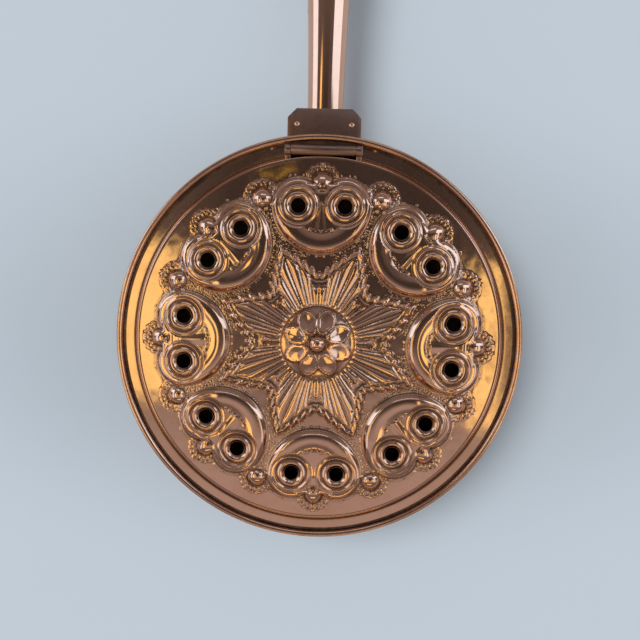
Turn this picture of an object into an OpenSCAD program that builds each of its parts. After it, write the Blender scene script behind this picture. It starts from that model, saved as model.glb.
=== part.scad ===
// Copper bed warming pan: a wired bowl, a pierced and embossed lid hinged at the
// handle, a riveted bracket with a tang, and a turned handle with a hanging ring.
// Origin: centre of the pan's flat base. +Z up, the handle runs along +Y.

/* [Pan] */
// Diameter over the rolled rim
rim_d = 280; // [240:1:320]
// Height of the lid's seat above the base
seat_z = 58; // [52:1:80]
// Radius that blends the base into the wall
base_corner_r = 32; // [20:1:34]
// Thickness of the bowl's sheet
bowl_gauge = 0.9; // [0.7:0.1:1.2]
// Diameter of the wire inside the rolled rim
wire_d = 2.4; // [2:0.1:3]
// Play of the wire in its roll
wire_play = 0.05; // [0.02:0.01:0.1]
// Width of the seat between the wall and the rolled rim
seat_w = 6.8; // [6:0.1:9]
// Slit where the raw edge of the roll stops short of the seat
curl_slit = 0.5; // [0.3:0.1:0.8]

/* [Lid] */
// Gap between the rolled rim and the edge of the lid
lid_gap = 2.2; // [1:0.1:3]
// Thickness of the lid's sheet
lid_gauge = 0.8; // [0.6:0.1:1]
// Width of the flat band that lies on the seat
band_w = 5.7; // [5:0.1:7]
// Width of the step above the band
step_w = 3.4; // [2:0.1:4]
// Height of the step above the band
step_h = 2.4; // [2:0.1:3]
// Width of the flat margin inside the step
margin_w = 12.5; // [12:0.1:14]
// Width of the slope that climbs to the ornament
slope_w = 14; // [10:0.5:18]
// Height of that slope
slope_h = 3; // [2:0.1:5]

/* [Ornament] */
// Number of cartouches round the lid
cartouches = 8; // [6:1:8]
// Radius of the ring of vents
vent_ring_r = 93; // [91:0.5:95]
// Distance between the two vents of a cartouche
vent_gap = 31.2; // [30:0.2:33]
// Diameter of a vent
vent_d = 10; // [8:0.5:11]
// Diameter of the raised lip round a vent, at its crest
lip_d = 14.8; // [14:0.2:15.4]
// Radius of the lip's section
lip_r = 1.6; // [1.2:0.1:1.7]
// Diameter of the ring that frames a vent, at its crest
frame_d = 24.4; // [24:0.2:25]
// Radius of that ring's section
frame_r = 2.6; // [2.2:0.1:2.7]
// Radius of the crescent that cradles two vents, at its crest
crescent_r = 27; // [26:0.5:28]
// Radius of the crescent's section
crescent_thick_r = 6.5; // [5.5:0.1:6.7]
// Swelling of the crescent's two ends
crescent_swell = 0.3; // [0.2:0.1:0.6]
// Depth that the crescent's centre lies below the sheet
crescent_sink = 1.5; // [1:0.1:2]
// Radius of a bead
bead_r = 6.3; // [5:0.1:6.4]
// Depth that a bead's centre lies below the sheet
bead_sink = 1.5; // [1:0.1:2]
// Ring radius of the beads above each cartouche
outer_bead_ring_r = 108; // [107:0.5:109]
// Ring radius of the beads between cartouches
gap_bead_ring_r = 105; // [104:0.5:106]
// Radius of the collar round a bead, at its crest
collar_r = 9.6; // [9:0.1:10]
// Radius of the collar's section
collar_thick_r = 1.8; // [1.4:0.1:2]
// Sweep of a collar round the outward side of its bead
collar_turn = 160; // [140:5:180]
// Radius of the star's points
star_tip_r = 69; // [66:0.5:70]
// Radius of the star's notches
star_notch_r = 46.5; // [44:0.5:48]
// Height of the star above the sheet
star_h = 1.2; // [1:0.1:1.6]
// Hollowing of the star's sides, 1 for straight ones
star_hollow = 1.5; // [1:0.1:2]
// Width of the plain border round the star's flutes
star_border = 7; // [6:0.5:9]
// Flutes in each point of the star
flutes = 6; // [5:1:7]
// Radius of the domed boss in the middle
boss_r = 24.5; // [24:0.5:26]
// Height of the domed boss above the star
boss_h = 7; // [6:0.1:9]
// Radius of a petal's bulge
petal_r = 6.2; // [5.8:0.1:6.6]
// Ring radius of the petals
petal_ring_r = 15.5; // [15:0.1:16.5]
// Height of a petal above the boss
petal_h = 2.4; // [2:0.1:3]
// Radius of the flower's heart
heart_r = 5.7; // [5:0.1:6]
// Height of the heart above the boss
heart_h = 3.9; // [3:0.1:5]

/* [Hinge] */
// Distance from the lid's edge in to the hinge line
hinge_inset = 4.6; // [4.4:0.1:5]
// Width over all the knuckles
hinge_w = 51.5; // [48:0.5:56]
// Width of each of the lid's two knuckles
end_knuckle_w = 3.85; // [3:0.05:5]
// Side play between knuckles
knuckle_play = 0.3; // [0.2:0.05:0.5]
// Gauge of the hinge plate and of the lid's leaf
hinge_gauge = 1.2; // [1:0.1:1.4]
// Diameter of the hinge pin
hinge_pin_d = 4.9; // [4:0.1:5.2]
// Radial clearance of the pin in the plate's knuckle
pin_clear = 0.05; // [0.02:0.01:0.1]
// Width of the hinge plate outside the rim
plate_w = 49.5; // [46:0.5:54]
// Reach of the hinge plate past the rim
plate_reach = 17; // [14:0.5:24]
// Size of the plate's cut corners
plate_corner = 6; // [3:0.5:8]
// Clearance round moving parts of the hinge
hinge_clear = 0.4; // [0.35:0.05:0.6]
// Seam where the middle knuckle's roll comes back to its plate
roll_seam = 0.25; // [0.15:0.05:0.4]
// Gap between the slope of the lid and the leaf's pad
leaf_pad_gap = 1.5; // [1:0.1:2]
// Depth of the leaf's pad under the lid
leaf_pad_l = 8; // [6:0.5:8]

/* [Bracket] */
// Width of the bracket under the hinge plate
bracket_w = 45; // [44:0.5:47]
// Thickness of the bracket's sheet
bracket_t = 1.6; // [1.4:0.1:2]
// Height of the bracket's flange on the wall
bracket_h = 21; // [18:0.5:22]
// Length of the bracket's shelf past the wall
shelf_l = 22; // [20:0.5:26]
// Height of the cheeks at the shelf's free end
cheek_nose_h = 3; // [2:0.5:6]
// Spacing of the two rivets through plate and shelf
plate_rivet_gap = 36.7; // [34:0.1:37]
// Distance of those rivets from the plate's end
plate_rivet_inset = 10.3; // [9:0.1:11]
// Shank diameter of every rivet
rivet_d = 2.4; // [2:0.1:3]
// Head diameter of a plate rivet
rivet_head_d = 3.9; // [3.8:0.1:4.6]
// Height of a rivet head
rivet_head_h = 1.1; // [0.8:0.1:1.4]
// Head diameter of a wall rivet
wall_rivet_head_d = 5; // [4.4:0.1:5.6]
// Spacing of the wall rivets across the bracket
wall_rivet_gap = 32.6; // [31:0.1:34]
// Distance of the wall rivets from the flange's edges
wall_rivet_inset = 4; // [3.6:0.1:4.4]
// Diameter of the rove under a wall rivet's inner head
rove_d = 7.5; // [7:0.1:8]
// Thickness of the roves and of the tang's washer
rove_t = 1; // [0.8:0.1:1.2]

/* [Handle] */
// Length of the whole handle from the bracket to the cap's end
handle_l = 800; // [600:5:900]
// Gap between the bracket's shelf and the ferrule
shelf_clear = 0.25; // [0.2:0.05:0.5]
// Diameter of the ferrule at the pan
ferrule_front_d = 24.4; // [23:0.1:25]
// Diameter of the ferrule at its far end
ferrule_back_d = 34; // [32:0.5:36]
// Length of the ferrule
ferrule_l = 150; // [120:1:170]
// Thickness of the ferrule's sheet
ferrule_gauge = 1; // [0.8:0.1:1.2]
// Radius of the roll that ends the ferrule
ferrule_roll_r = 1.6; // [1.2:0.1:2]
// Diameter of the slender part of the wood
neck_d = 23; // [21:0.5:25]
// Diameter of the grip
grip_d = 31; // [28:0.5:33]
// Radius of the turned beads' section
turned_bead_r = 4; // [3:0.1:4.5]
// Radius of the thin ring's section at the neck
neck_ring_r = 2.4; // [1.6:0.1:3]
// Length of the hollow between the first bead and the neck
neck_hollow_l = 10; // [7:0.5:14]
// Distance from the last bead to the cap
knob_l = 12; // [10:0.5:16]
// Diameter of the tang
tang_d = 8; // [7:0.1:9]
// Diameter of the tang's tenon, through the bracket and the wall
tang_tenon_d = 3.9; // [3.4:0.1:3.9]
// Reach of the tang into the handle
tang_l = 125; // [100:1:135]
// Clearance of the tang in the wood
tang_clear = 0.1; // [0.05:0.05:0.2]
// Head diameter of the tang
tang_head_d = 8; // [7:0.5:10]
// Height of the tang's head
tang_head_h = 2.4; // [2:0.1:3]
// Diameter of the tang's washer
tang_washer_d = 20; // [17:0.5:21]
// Distance of the cross pin from the bracket
cross_pin_y = 95; // [80:1:96]
// Diameter of the cross pin
cross_pin_d = 4; // [3:0.1:4.5]
// Distance of the ferrule's nails from its far end
nail_inset = 12; // [10:0.5:16]
// Shank diameter of the nails
nail_d = 1.6; // [1.4:0.1:2]
// Length of a ferrule nail
ferrule_nail_l = 12; // [8:0.5:14]
// Length of a cap nail
cap_nail_l = 9; // [6:0.5:10]
// Head diameter of a nail
nail_head_d = 4; // [3.4:0.1:4.6]

/* [End cap and ring] */
// Diameter of the end cap
cap_d = 26; // [24:0.5:28]
// Length of the end cap's skirt
cap_l = 20; // [16:0.5:26]
// Thickness of the end cap
cap_gauge = 1; // [0.8:0.1:1.2]
// Radius of the eye, at its crest
eye_r = 5.6; // [5:0.1:6.5]
// Radius of the eye's wire
eye_wire_r = 1.8; // [1.5:0.1:2]
// Length of the eye's stem between the cap and the loop
eye_stem_l = 3; // [2:0.1:5]
// Depth of the eye's stem in the wood
eye_depth = 30; // [20:1:40]
// Radius of the hanging ring, at its crest
ring_r = 15; // [13:0.5:18]
// Radius of the hanging ring's wire
ring_wire_r = 1.7; // [1.4:0.1:1.8]
// Gap between the ring and the eye it hangs in
ring_clear = 0.2; // [0.1:0.05:0.3]

/* [Hidden] */
$fn = 64;
// longer than any cut, and a sliver by which touching shapes overlap to fuse
far = 400;
eps = 0.01;

// rim and seat
curl_bore_r = wire_d / 2 + wire_play;
curl_r = curl_bore_r + bowl_gauge;
curl_ring_r = rim_d / 2 - curl_r;
curl_z = seat_z - bowl_gauge + curl_r;
curl_slit_turn = 68;
rim_inner_r = rim_d / 2 - 2 * curl_r;
wall_in_r = rim_inner_r - seat_w;
wall_r = wall_in_r + bowl_gauge;

// lid levels, and the radii where its profile bends
lid_r = rim_inner_r - lid_gap;
step_out_r = lid_r - band_w;
margin_r = step_out_r - step_w;
slope_out_r = margin_r - margin_w;
slope_in_r = slope_out_r - slope_w;
lid_top_z = seat_z + lid_gauge;
margin_z = lid_top_z + step_h;
field_z = margin_z + slope_h;
star_z = field_z + star_h;
sector = 360 / cartouches;
// depth below a raised form that its solid reaches, to be cut away by the form under it
press_depth = 8;
disc_h = lip_r / 2;
star_steps = 4;
boss_ball_r = (pow(boss_r, 2) + pow(boss_h, 2)) / (2 * boss_h);
// the flutes start under the boss, and their half width is this share of their pitch
flute_overlap = 2.5;
flute_fill = 0.4;
flute_pitch = sector / flutes;

// hinge
hinge_y = lid_r - hinge_inset;
knuckle_bore_r = hinge_pin_d / 2 + pin_clear;
knuckle_r = knuckle_bore_r + hinge_gauge;
plate_top_z = seat_z - bowl_gauge;
plate_z = plate_top_z - hinge_gauge;
hinge_z = plate_z + knuckle_r;
plate_end_y = rim_d / 2 + plate_reach;
mid_knuckle_w = hinge_w - 2 * end_knuckle_w - 2 * knuckle_play;
notch_w = hinge_w + 2 * hinge_clear;
leaf_top_z = margin_z - lid_gauge;

// bracket
shelf_z = plate_z - bracket_t;
flange_r = wall_r + bracket_t;
shelf_end_y = wall_r + shelf_l;
wall_rivet_turn = asin(wall_rivet_gap / 2 / flange_r);
// distance from the pan's axis at which a flat disc bears on the inside of the wall
function bearing_r(d) = sqrt(pow(wall_in_r, 2) - pow(d / 2, 2));
bracket_low_z = plate_z - bracket_h;
plate_rivet_y = plate_end_y - plate_rivet_inset;
wall_rivet_z = [shelf_z - wall_rivet_inset, bracket_low_z + wall_rivet_inset];

// handle: distances run from the bracket's face along the handle
handle_y = flange_r;
handle_z = shelf_z - shelf_clear - ferrule_front_d / 2;
tang_head_s = bearing_r(tang_washer_d) - rove_t - flange_r;
ferrule_steps = 10;
ferrule_growth = (ferrule_back_d - ferrule_front_d) / 2 / pow(ferrule_l, 2);
function ferrule_r(s) = ferrule_front_d / 2 + ferrule_growth * pow(s, 2);
wood_l = handle_l - cap_gauge;
skirt_s = handle_l - cap_l;
ferrule_nail_s = ferrule_l - nail_inset;
cap_nail_s = skirt_s + cap_l / 2;
tenon_r = cap_d / 2 - cap_gauge;
shoulder_s = ferrule_l + ferrule_roll_r;
shoulder_r = ferrule_back_d / 2 - ferrule_gauge + ferrule_roll_r;
neck_s = shoulder_s + 2 * turned_bead_r + neck_hollow_l;
knob_s = skirt_s - knob_l;
grip_steps = 14;
// half thickness of the wood: slender at the neck, fullest two thirds of the way back
function wood_r(u) = neck_d / 2 + (grip_d - neck_d) / 2 * pow(sin(180 * pow(u, 1.35)), 2);

// eye and ring
eye_s = handle_l + eye_stem_l + eye_r;
ring_drop = eye_r - eye_wire_r - ring_wire_r - ring_clear;

copper = "#b9714f";
satin_copper = "#8f6350";
steel = "#8d9196";
wood = "#6b3f22";

// ---- helpers ----

// children drawn in the YZ plane and extruded by w about x = 0
module across(w, x = 0) {
    translate([x - w / 2, 0, 0]) rotate([90, 0, 90]) linear_extrude(w) children();
}

// children turned about +Z are laid along the handle's axis, from the bracket outwards
module along_handle() {
    translate([0, handle_y, handle_z]) rotate([-90, 0, 0]) children();
}

module spin_sectors(offset = 0) {
    for (i = [0 : cartouches - 1]) rotate([0, 0, offset + i * sector]) children();
}

// a low round rivet head on the plane z = 0
module rivet_head(d, h) {
    ball_r = (d * d / 4 + h * h) / (2 * h);
    intersection() {
        translate([0, 0, h - ball_r]) sphere(ball_r);
        cylinder(d = d, h = h + eps);
    }
}

// ---- pan ----

// half section of a flat-bottomed cup that lies `inset` inside the outer skin
module cup_section(inset, top) {
    r = wall_r - inset;
    corner = base_corner_r - inset;
    translate([0, inset]) square([r - corner, corner]);
    translate([0, inset + corner]) square([r, top - inset - corner]);
    intersection() {
        translate([r - corner, inset + corner]) circle(corner);
        translate([r - corner, inset]) square(corner);
    }
}

module rim_section() {
    translate([wall_in_r, seat_z - bowl_gauge]) square([curl_ring_r - wall_in_r, bowl_gauge]);
    difference() {
        translate([curl_ring_r, curl_z]) circle(curl_r);
        translate([curl_ring_r, curl_z]) circle(curl_bore_r);
        // the raw edge of the roll stops short of the seat, on the underside
        translate([curl_ring_r, curl_z]) rotate(-curl_slit_turn) square([2 * curl_r, curl_slit]);
    }
}

// room in the wall and seat for the knuckles
module knuckle_room() {
    translate([-notch_w / 2, hinge_y - 2 * knuckle_r, hinge_z - knuckle_r - hinge_clear])
        cube([notch_w, 3 * knuckle_r + hinge_clear, 2 * (knuckle_r + hinge_clear)]);
}

// room beside the knuckles for the part of the lid's edge that lies beyond the hinge line and swings
// below it: a cone as wide as that edge's swing, which ends where the edge meets the hinge line
module edge_room() {
    rise = hinge_z - seat_z;
    edge_out = sqrt(pow(lid_r, 2) - pow(notch_w / 2, 2)) - hinge_y;
    edge_x = sqrt(pow(lid_r, 2) - pow(hinge_y, 2));
    for (s = [-1, 1])
        translate([s * notch_w / 2, hinge_y, hinge_z]) rotate([0, s * 90, 0])
            cylinder(r1 = sqrt(pow(edge_out, 2) + pow(rise, 2)) + hinge_clear, r2 = rise + hinge_clear,
                h = edge_x + 2 * hinge_clear - notch_w / 2);
}

// the tenon's hole through the wall and the bracket
module tang_hole() {
    along_handle() translate([0, 0, -wall_r]) cylinder(d = tang_tenon_d, h = flange_r);
}

module pan_bowl() {
    color(copper) difference() {
        rotate_extrude() {
            difference() {
                cup_section(0, seat_z);
                cup_section(bowl_gauge, seat_z + 1);
            }
            rim_section();
        }
        knuckle_room();
        edge_room();
        wall_rivet_holes();
        tang_hole();
    }
}

module rim_wire() {
    color(steel) translate([0, 0, curl_z])
        rotate_extrude() translate([curl_ring_r, 0]) circle(d = wire_d);
}

// ---- lid ----

// half section of everything below the pressed sheet, `t` under its upper face
module lid_section(t, reach) {
    low = seat_z - press_depth;
    polygon([[0, low], [reach, low], [reach, lid_top_z - t], [step_out_r, lid_top_z - t],
        [margin_r, margin_z - t], [slope_out_r, margin_z - t], [slope_in_r, field_z - t],
        [0, field_z - t]]);
}

// height of the sheet's upper face on the slope, for beads that stand there
function sheet_z(r) = r < slope_in_r ? field_z
    : r < slope_out_r ? field_z - slope_h * (r - slope_in_r) / slope_w : margin_z;

// radius of the star's outline at an angle from a point's axis
function star_r(a) = star_notch_r
    + (star_tip_r - star_notch_r) * pow(1 - abs(a) / (sector / 2), star_hollow);

module star_outline(inset) {
    polygon([for (i = [0 : cartouches - 1], j = [-star_steps : star_steps - 1])
        let (a = j * sector / 2 / star_steps, r = star_r(a) - inset, turn = (i + 0.5) * sector + a)
        [r * sin(turn), r * cos(turn)]]);
}

// half a ring round the inward side of two vents, with a ball at each end
module crescent(t) {
    translate([0, vent_ring_r, field_z - crescent_sink]) {
        rotate([0, 0, 180]) rotate_extrude(angle = 180)
            translate([crescent_r, 0]) circle(crescent_thick_r - t);
        for (s = [-1, 1])
            translate([s * crescent_r, 0, 0]) sphere(crescent_thick_r + crescent_swell - t);
    }
}

module at_vents() {
    vent_y = sqrt(pow(vent_ring_r, 2) - pow(vent_gap / 2, 2));
    for (s = [-1, 1]) translate([s * vent_gap / 2, vent_y, 0]) children();
}

// the frame, the raised disc and the lip round one vent
module vent_rings() {
    translate([0, 0, field_z]) rotate_extrude() translate([frame_d / 2, 0]) circle(frame_r);
    translate([0, 0, field_z - disc_h / 2]) cylinder(r = lip_d / 2 + lip_r, h = 3 * disc_h / 2);
    translate([0, 0, field_z + disc_h])
        rotate_extrude() translate([lip_d / 2, 0]) circle(lip_r - 2 * eps);
}

module bead(ring_r, t) {
    translate([0, ring_r, sheet_z(ring_r) - bead_sink]) sphere(bead_r - t);
}

// collar round the outward side of a bead
module bead_collar(ring_r) {
    translate([0, ring_r, sheet_z(ring_r)]) rotate([0, 0, (180 - collar_turn) / 2])
        rotate_extrude(angle = collar_turn) translate([collar_r, 0]) circle(collar_thick_r);
}

module boss(t) {
    intersection() {
        translate([0, 0, star_z + boss_h - boss_ball_r]) sphere(boss_ball_r - t);
        translate([0, 0, star_z - press_depth / 2]) cylinder(r = boss_r - t, h = boss_h + press_depth);
    }
}

// level of the boss at a radius
function boss_z(r) = star_z + boss_h - boss_ball_r + sqrt(pow(boss_ball_r, 2) - pow(r, 2));

// a ridge that runs out from the boss along a star's point, `a` degrees from its axis
module flute(a) {
    start = boss_r - flute_overlap;
    end = star_r(a) - star_border;
    spread = flute_fill * flute_pitch * PI / 180;
    rotate([0, 0, -a]) translate([0, start, star_z]) rotate([-90, 0, 0])
        cylinder(r1 = spread * start, r2 = spread * end, h = end - start);
}

// the relief whose hollow shows on the lid's underside
module pressed(t, reach) {
    rotate_extrude() lid_section(t, reach);
    spin_sectors() {
        crescent(t);
        bead(outer_bead_ring_r, t);
    }
    spin_sectors(sector / 2) bead(gap_bead_ring_r, t);
    translate([0, 0, star_z - press_depth]) linear_extrude(press_depth - t) star_outline(t);
    boss(t);
}

// the finer relief, chased on the upper face only
module chased() {
    spin_sectors() {
        at_vents() vent_rings();
        bead_collar(outer_bead_ring_r);
        translate([0, petal_ring_r, boss_z(petal_ring_r) + petal_h - petal_r]) sphere(petal_r);
    }
    spin_sectors(sector / 2) {
        bead_collar(gap_bead_ring_r);
        for (j = [0 : flutes - 1]) flute((j - (flutes - 1) / 2) * flute_pitch);
    }
    translate([0, 0, star_z + boss_h + heart_h - heart_r]) sphere(heart_r);
}

// the band is cut away for the knuckles, along the foot of the step
module lid_notch() {
    notch_h = margin_z - seat_z + 2;
    translate([0, 0, seat_z - 1]) intersection() {
        translate([-notch_w / 2, 0, 0]) cube([notch_w, lid_r + 1, notch_h]);
        difference() {
            cylinder(r = lid_r + 1, h = notch_h);
            translate([0, 0, -1]) cylinder(r = hinge_y - knuckle_r - hinge_clear, h = notch_h + 2);
        }
    }
}

module lid_shell() {
    color(copper) difference() {
        union() {
            pressed(0, lid_r);
            chased();
        }
        pressed(lid_gauge, lid_r + 1);
        spin_sectors() at_vents() translate([0, 0, seat_z]) cylinder(d = vent_d, h = far);
        lid_notch();
    }
}

// ---- hinge ----

module lid_hinge_leaf() {
    pad_y = slope_out_r + leaf_pad_gap;
    tongue_x = (hinge_w - end_knuckle_w) / 2;
    color(satin_copper) difference() {
        union() {
            translate([-hinge_w / 2 + end_knuckle_w, pad_y, leaf_top_z - hinge_gauge])
                cube([hinge_w - 2 * end_knuckle_w, leaf_pad_l, hinge_gauge]);
            for (s = [-1, 1]) {
                translate([s * tongue_x - end_knuckle_w / 2, pad_y, leaf_top_z - hinge_gauge])
                    cube([end_knuckle_w, hinge_y - knuckle_bore_r - pad_y, hinge_gauge]);
                across(end_knuckle_w, s * tongue_x) translate([hinge_y, hinge_z]) circle(knuckle_r);
            }
        }
        across(hinge_w + 1) translate([hinge_y, hinge_z]) circle(hinge_pin_d / 2);
    }
}

module hinge_pin() {
    color(steel) across(hinge_w) translate([hinge_y, hinge_z]) circle(d = hinge_pin_d);
}

// flat outline of the hinge plate: a tongue to the knuckle, then the full width
module plate_outline() {
    wide_y = hinge_y + knuckle_r + hinge_clear;
    square_end = plate_w / 2 - plate_corner;
    polygon([[-mid_knuckle_w / 2, hinge_y], [mid_knuckle_w / 2, hinge_y], [mid_knuckle_w / 2, wide_y],
        [plate_w / 2, wide_y], [plate_w / 2, plate_end_y - plate_corner], [square_end, plate_end_y],
        [-square_end, plate_end_y], [-plate_w / 2, plate_end_y - plate_corner], [-plate_w / 2, wide_y],
        [-mid_knuckle_w / 2, wide_y]]);
}

module plate_rivet_holes() {
    for (s = [-1, 1]) translate([s * plate_rivet_gap / 2, plate_rivet_y, shelf_z - 1])
        cylinder(d = rivet_d, h = plate_top_z - shelf_z + 2);
}

module hinge_plate() {
    color(satin_copper) difference() {
        union() {
            translate([0, 0, plate_z]) linear_extrude(hinge_gauge) plate_outline();
            across(mid_knuckle_w) translate([hinge_y, hinge_z]) circle(knuckle_r);
        }
        across(mid_knuckle_w + 1) translate([hinge_y, hinge_z]) circle(knuckle_bore_r);
        across(mid_knuckle_w + 1) translate([hinge_y + 1, plate_top_z]) square([knuckle_r, roll_seam]);
        plate_rivet_holes();
    }
}

module plate_rivets() {
    color(copper) for (s = [-1, 1]) translate([s * plate_rivet_gap / 2, plate_rivet_y, 0]) {
        translate([0, 0, shelf_z - rivet_head_h / 2])
            cylinder(d = rivet_d, h = plate_top_z - shelf_z + rivet_head_h);
        translate([0, 0, plate_top_z]) rivet_head(rivet_head_d, rivet_head_h);
        translate([0, 0, shelf_z]) mirror([0, 0, 1]) rivet_head(rivet_head_d, rivet_head_h);
    }
}

// ---- bracket ----

module at_wall_rivets() {
    for (s = [-1, 1], z = wall_rivet_z)
        translate([0, 0, z]) rotate([0, 0, s * wall_rivet_turn]) rotate([-90, 0, 0]) children();
}

module wall_rivet_holes() {
    at_wall_rivets() cylinder(d = rivet_d, h = far);
}

module handle_bracket() {
    cheek_x = bracket_w / 2 - bracket_t / 2;
    color(steel) difference() {
        union() {
            // flange bent to the wall
            intersection() {
                translate([0, 0, bracket_low_z]) cylinder(r = flange_r, h = bracket_h);
                translate([-bracket_w / 2, 0, 0]) cube([bracket_w, far, far]);
            }
            // shelf under the hinge plate
            translate([-bracket_w / 2, 0, shelf_z]) cube([bracket_w, shelf_end_y, bracket_t]);
            // side cheeks
            for (s = [-1, 1]) across(bracket_t, s * cheek_x)
                polygon([[0, shelf_z], [shelf_end_y, shelf_z], [shelf_end_y, shelf_z - cheek_nose_h],
                    [wall_r, bracket_low_z], [0, bracket_low_z]]);
        }
        translate([0, 0, -1]) cylinder(r = wall_r, h = far);
        wall_rivet_holes();
        plate_rivet_holes();
        tang_hole();
    }
}

module wall_rivets() {
    inner = bearing_r(rove_d) - rove_t;
    color(copper) at_wall_rivets() {
        translate([0, 0, inner - rivet_head_h / 2])
            cylinder(d = rivet_d, h = flange_r - inner + rivet_head_h);
        translate([0, 0, flange_r]) rivet_head(wall_rivet_head_d, rivet_head_h);
        translate([0, 0, inner]) mirror([0, 0, 1]) rivet_head(wall_rivet_head_d, rivet_head_h);
    }
}

// roves: the burrs under the rivets' inner heads
module wall_roves() {
    color(copper) at_wall_rivets() translate([0, 0, bearing_r(rove_d) - rove_t]) difference() {
        cylinder(d = rove_d, h = rove_t);
        translate([0, 0, -1]) cylinder(d = rivet_d, h = rove_t + 2);
    }
}

module handle_tang() {
    start = tang_head_s - tang_head_h / 2;
    color(steel) difference() {
        along_handle() {
            cylinder(d = tang_d, h = tang_l);
            translate([0, 0, start]) cylinder(d = tang_tenon_d, h = eps - start);
            translate([0, 0, tang_head_s]) mirror([0, 0, 1]) rivet_head(tang_head_d, tang_head_h);
        }
        cross_pin_hole();
    }
}

module tang_washer() {
    color(steel) along_handle() translate([0, 0, tang_head_s]) difference() {
        cylinder(d = tang_washer_d, h = rove_t);
        translate([0, 0, -1]) cylinder(d = tang_tenon_d, h = rove_t + 2);
    }
}

// ---- handle ----

// half section inside the ferrule's flare, `t` under its skin
module flare_section(t) {
    points = [for (i = [0 : ferrule_steps]) let (s = ferrule_l * i / ferrule_steps)
        [ferrule_r(s) - t, s]];
    polygon(concat([[0, 0]], points, [[0, ferrule_l]]));
}

// the handle's front end is hollowed to sit on the bracket's flange
module saddle_cut() {
    translate([0, 0, -1]) cylinder(r = flange_r, h = far);
}

module ferrule() {
    color(copper) difference() {
        along_handle() rotate_extrude() {
            difference() {
                flare_section(0);
                flare_section(ferrule_gauge);
            }
            translate([ferrule_back_d / 2 - ferrule_gauge, ferrule_l])
                intersection() {
                    circle(ferrule_roll_r);
                    translate([0, -ferrule_roll_r]) square(2 * ferrule_roll_r);
                }
        }
        saddle_cut();
        cross_pin_hole();
        at_nails(ferrule_nail_s) cylinder(d = nail_d, h = far);
    }
}

module cross_pin_hole() {
    along_handle() translate([0, 0, cross_pin_y]) rotate([0, 90, 0])
        translate([0, 0, -far / 2]) cylinder(d = cross_pin_d, h = far);
}

// two opposite places at a distance along the handle, their axes pointing outwards
module at_nails(s) {
    along_handle() for (a = [0, 180]) translate([0, 0, s]) rotate([0, 90, a]) children();
}

// half section of the turned wood between the ferrule and the cap
module wood_section() {
    collar = [shoulder_r - turned_bead_r / 2, shoulder_s];
    grip = [for (i = [0 : grip_steps]) let (u = i / grip_steps)
        [wood_r(u), neck_s + (knob_s - neck_s) * u]];
    polygon(concat([[0, shoulder_s], collar, collar + [0, turned_bead_r]], grip,
        [[cap_d / 2, knob_s + 2 * turned_bead_r], [cap_d / 2, skirt_s], [0, skirt_s]]));
    // beads turned at both ends of the grip, and a thin ring at the neck
    translate([shoulder_r - turned_bead_r, shoulder_s + turned_bead_r]) circle(turned_bead_r);
    translate([neck_d / 2, neck_s]) circle(neck_ring_r);
    translate([grip_d / 2 - turned_bead_r, knob_s + turned_bead_r]) circle(turned_bead_r);
}

module handle_shaft() {
    color(wood) difference() {
        along_handle() rotate_extrude() {
            flare_section(ferrule_gauge);
            translate([0, ferrule_l - eps])
                square([ferrule_back_d / 2 - ferrule_gauge, ferrule_roll_r + 2 * eps]);
            wood_section();
            translate([0, skirt_s - 1]) square([tenon_r, wood_l - skirt_s + 1]);
        }
        saddle_cut();
        cross_pin_hole();
        along_handle() {
            translate([0, 0, -1]) cylinder(d = tang_d + 2 * tang_clear, h = tang_l + 1 + tang_clear);
            translate([0, 0, wood_l - eye_depth]) cylinder(r = eye_wire_r, h = eye_depth + 1);
        }
        at_nails(ferrule_nail_s) cylinder(d = nail_d, h = far);
        at_nails(cap_nail_s) cylinder(d = nail_d, h = far);
    }
}

module tang_cross_pin() {
    r = ferrule_r(cross_pin_y);
    color(steel) along_handle() translate([0, 0, cross_pin_y]) rotate([0, 90, 0])
        translate([0, 0, -r]) cylinder(d = cross_pin_d, h = 2 * r);
}

// a nail whose head bears at a distance from the handle's axis
module nail(skin_r, length) {
    translate([0, 0, skin_r - length]) cylinder(d = nail_d, h = length + rivet_head_h / 2);
    translate([0, 0, skin_r]) rivet_head(nail_head_d, rivet_head_h);
}

// the ferrule flares, so the head bears on the side where it is wider
module ferrule_nails() {
    color(copper) at_nails(ferrule_nail_s)
        nail(ferrule_r(ferrule_nail_s + nail_head_d / 2), ferrule_nail_l);
}

module end_cap() {
    color(copper) difference() {
        along_handle() difference() {
            translate([0, 0, skirt_s]) cylinder(d = cap_d, h = cap_l);
            translate([0, 0, skirt_s - 1]) cylinder(r = tenon_r, h = wood_l - skirt_s + 1);
            cylinder(r = eye_wire_r, h = handle_l + 1);
        }
        at_nails(cap_nail_s) cylinder(d = nail_d, h = far);
    }
}

module cap_nails() {
    color(copper) at_nails(cap_nail_s) nail(cap_d / 2, cap_nail_l);
}

module hanging_eye() {
    stem_start = wood_l - eye_depth;
    color(copper) along_handle() {
        translate([0, 0, stem_start]) cylinder(r = eye_wire_r, h = eye_s - eye_r - stem_start + eye_wire_r);
        translate([0, 0, eye_s]) rotate([0, 90, 0])
            rotate_extrude() translate([eye_r, 0]) circle(eye_wire_r);
    }
}

module hanging_ring() {
    color(copper) translate([0, handle_y + eye_s, handle_z - ring_drop - ring_r]) rotate([90, 0, 0])
        rotate_extrude() translate([ring_r, 0]) circle(ring_wire_r);
}

pan_bowl();
rim_wire();
lid_shell();
lid_hinge_leaf();
hinge_pin();
hinge_plate();
plate_rivets();
handle_bracket();
wall_rivets();
wall_roves();
handle_tang();
tang_washer();
ferrule();
handle_shaft();
tang_cross_pin();
ferrule_nails();
end_cap();
cap_nails();
hanging_eye();
hanging_ring();
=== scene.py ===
import math

import bpy
import numpy as np
from mathutils import Matrix, Vector
from mathutils.geometry import delaunay_2d_cdt


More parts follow.
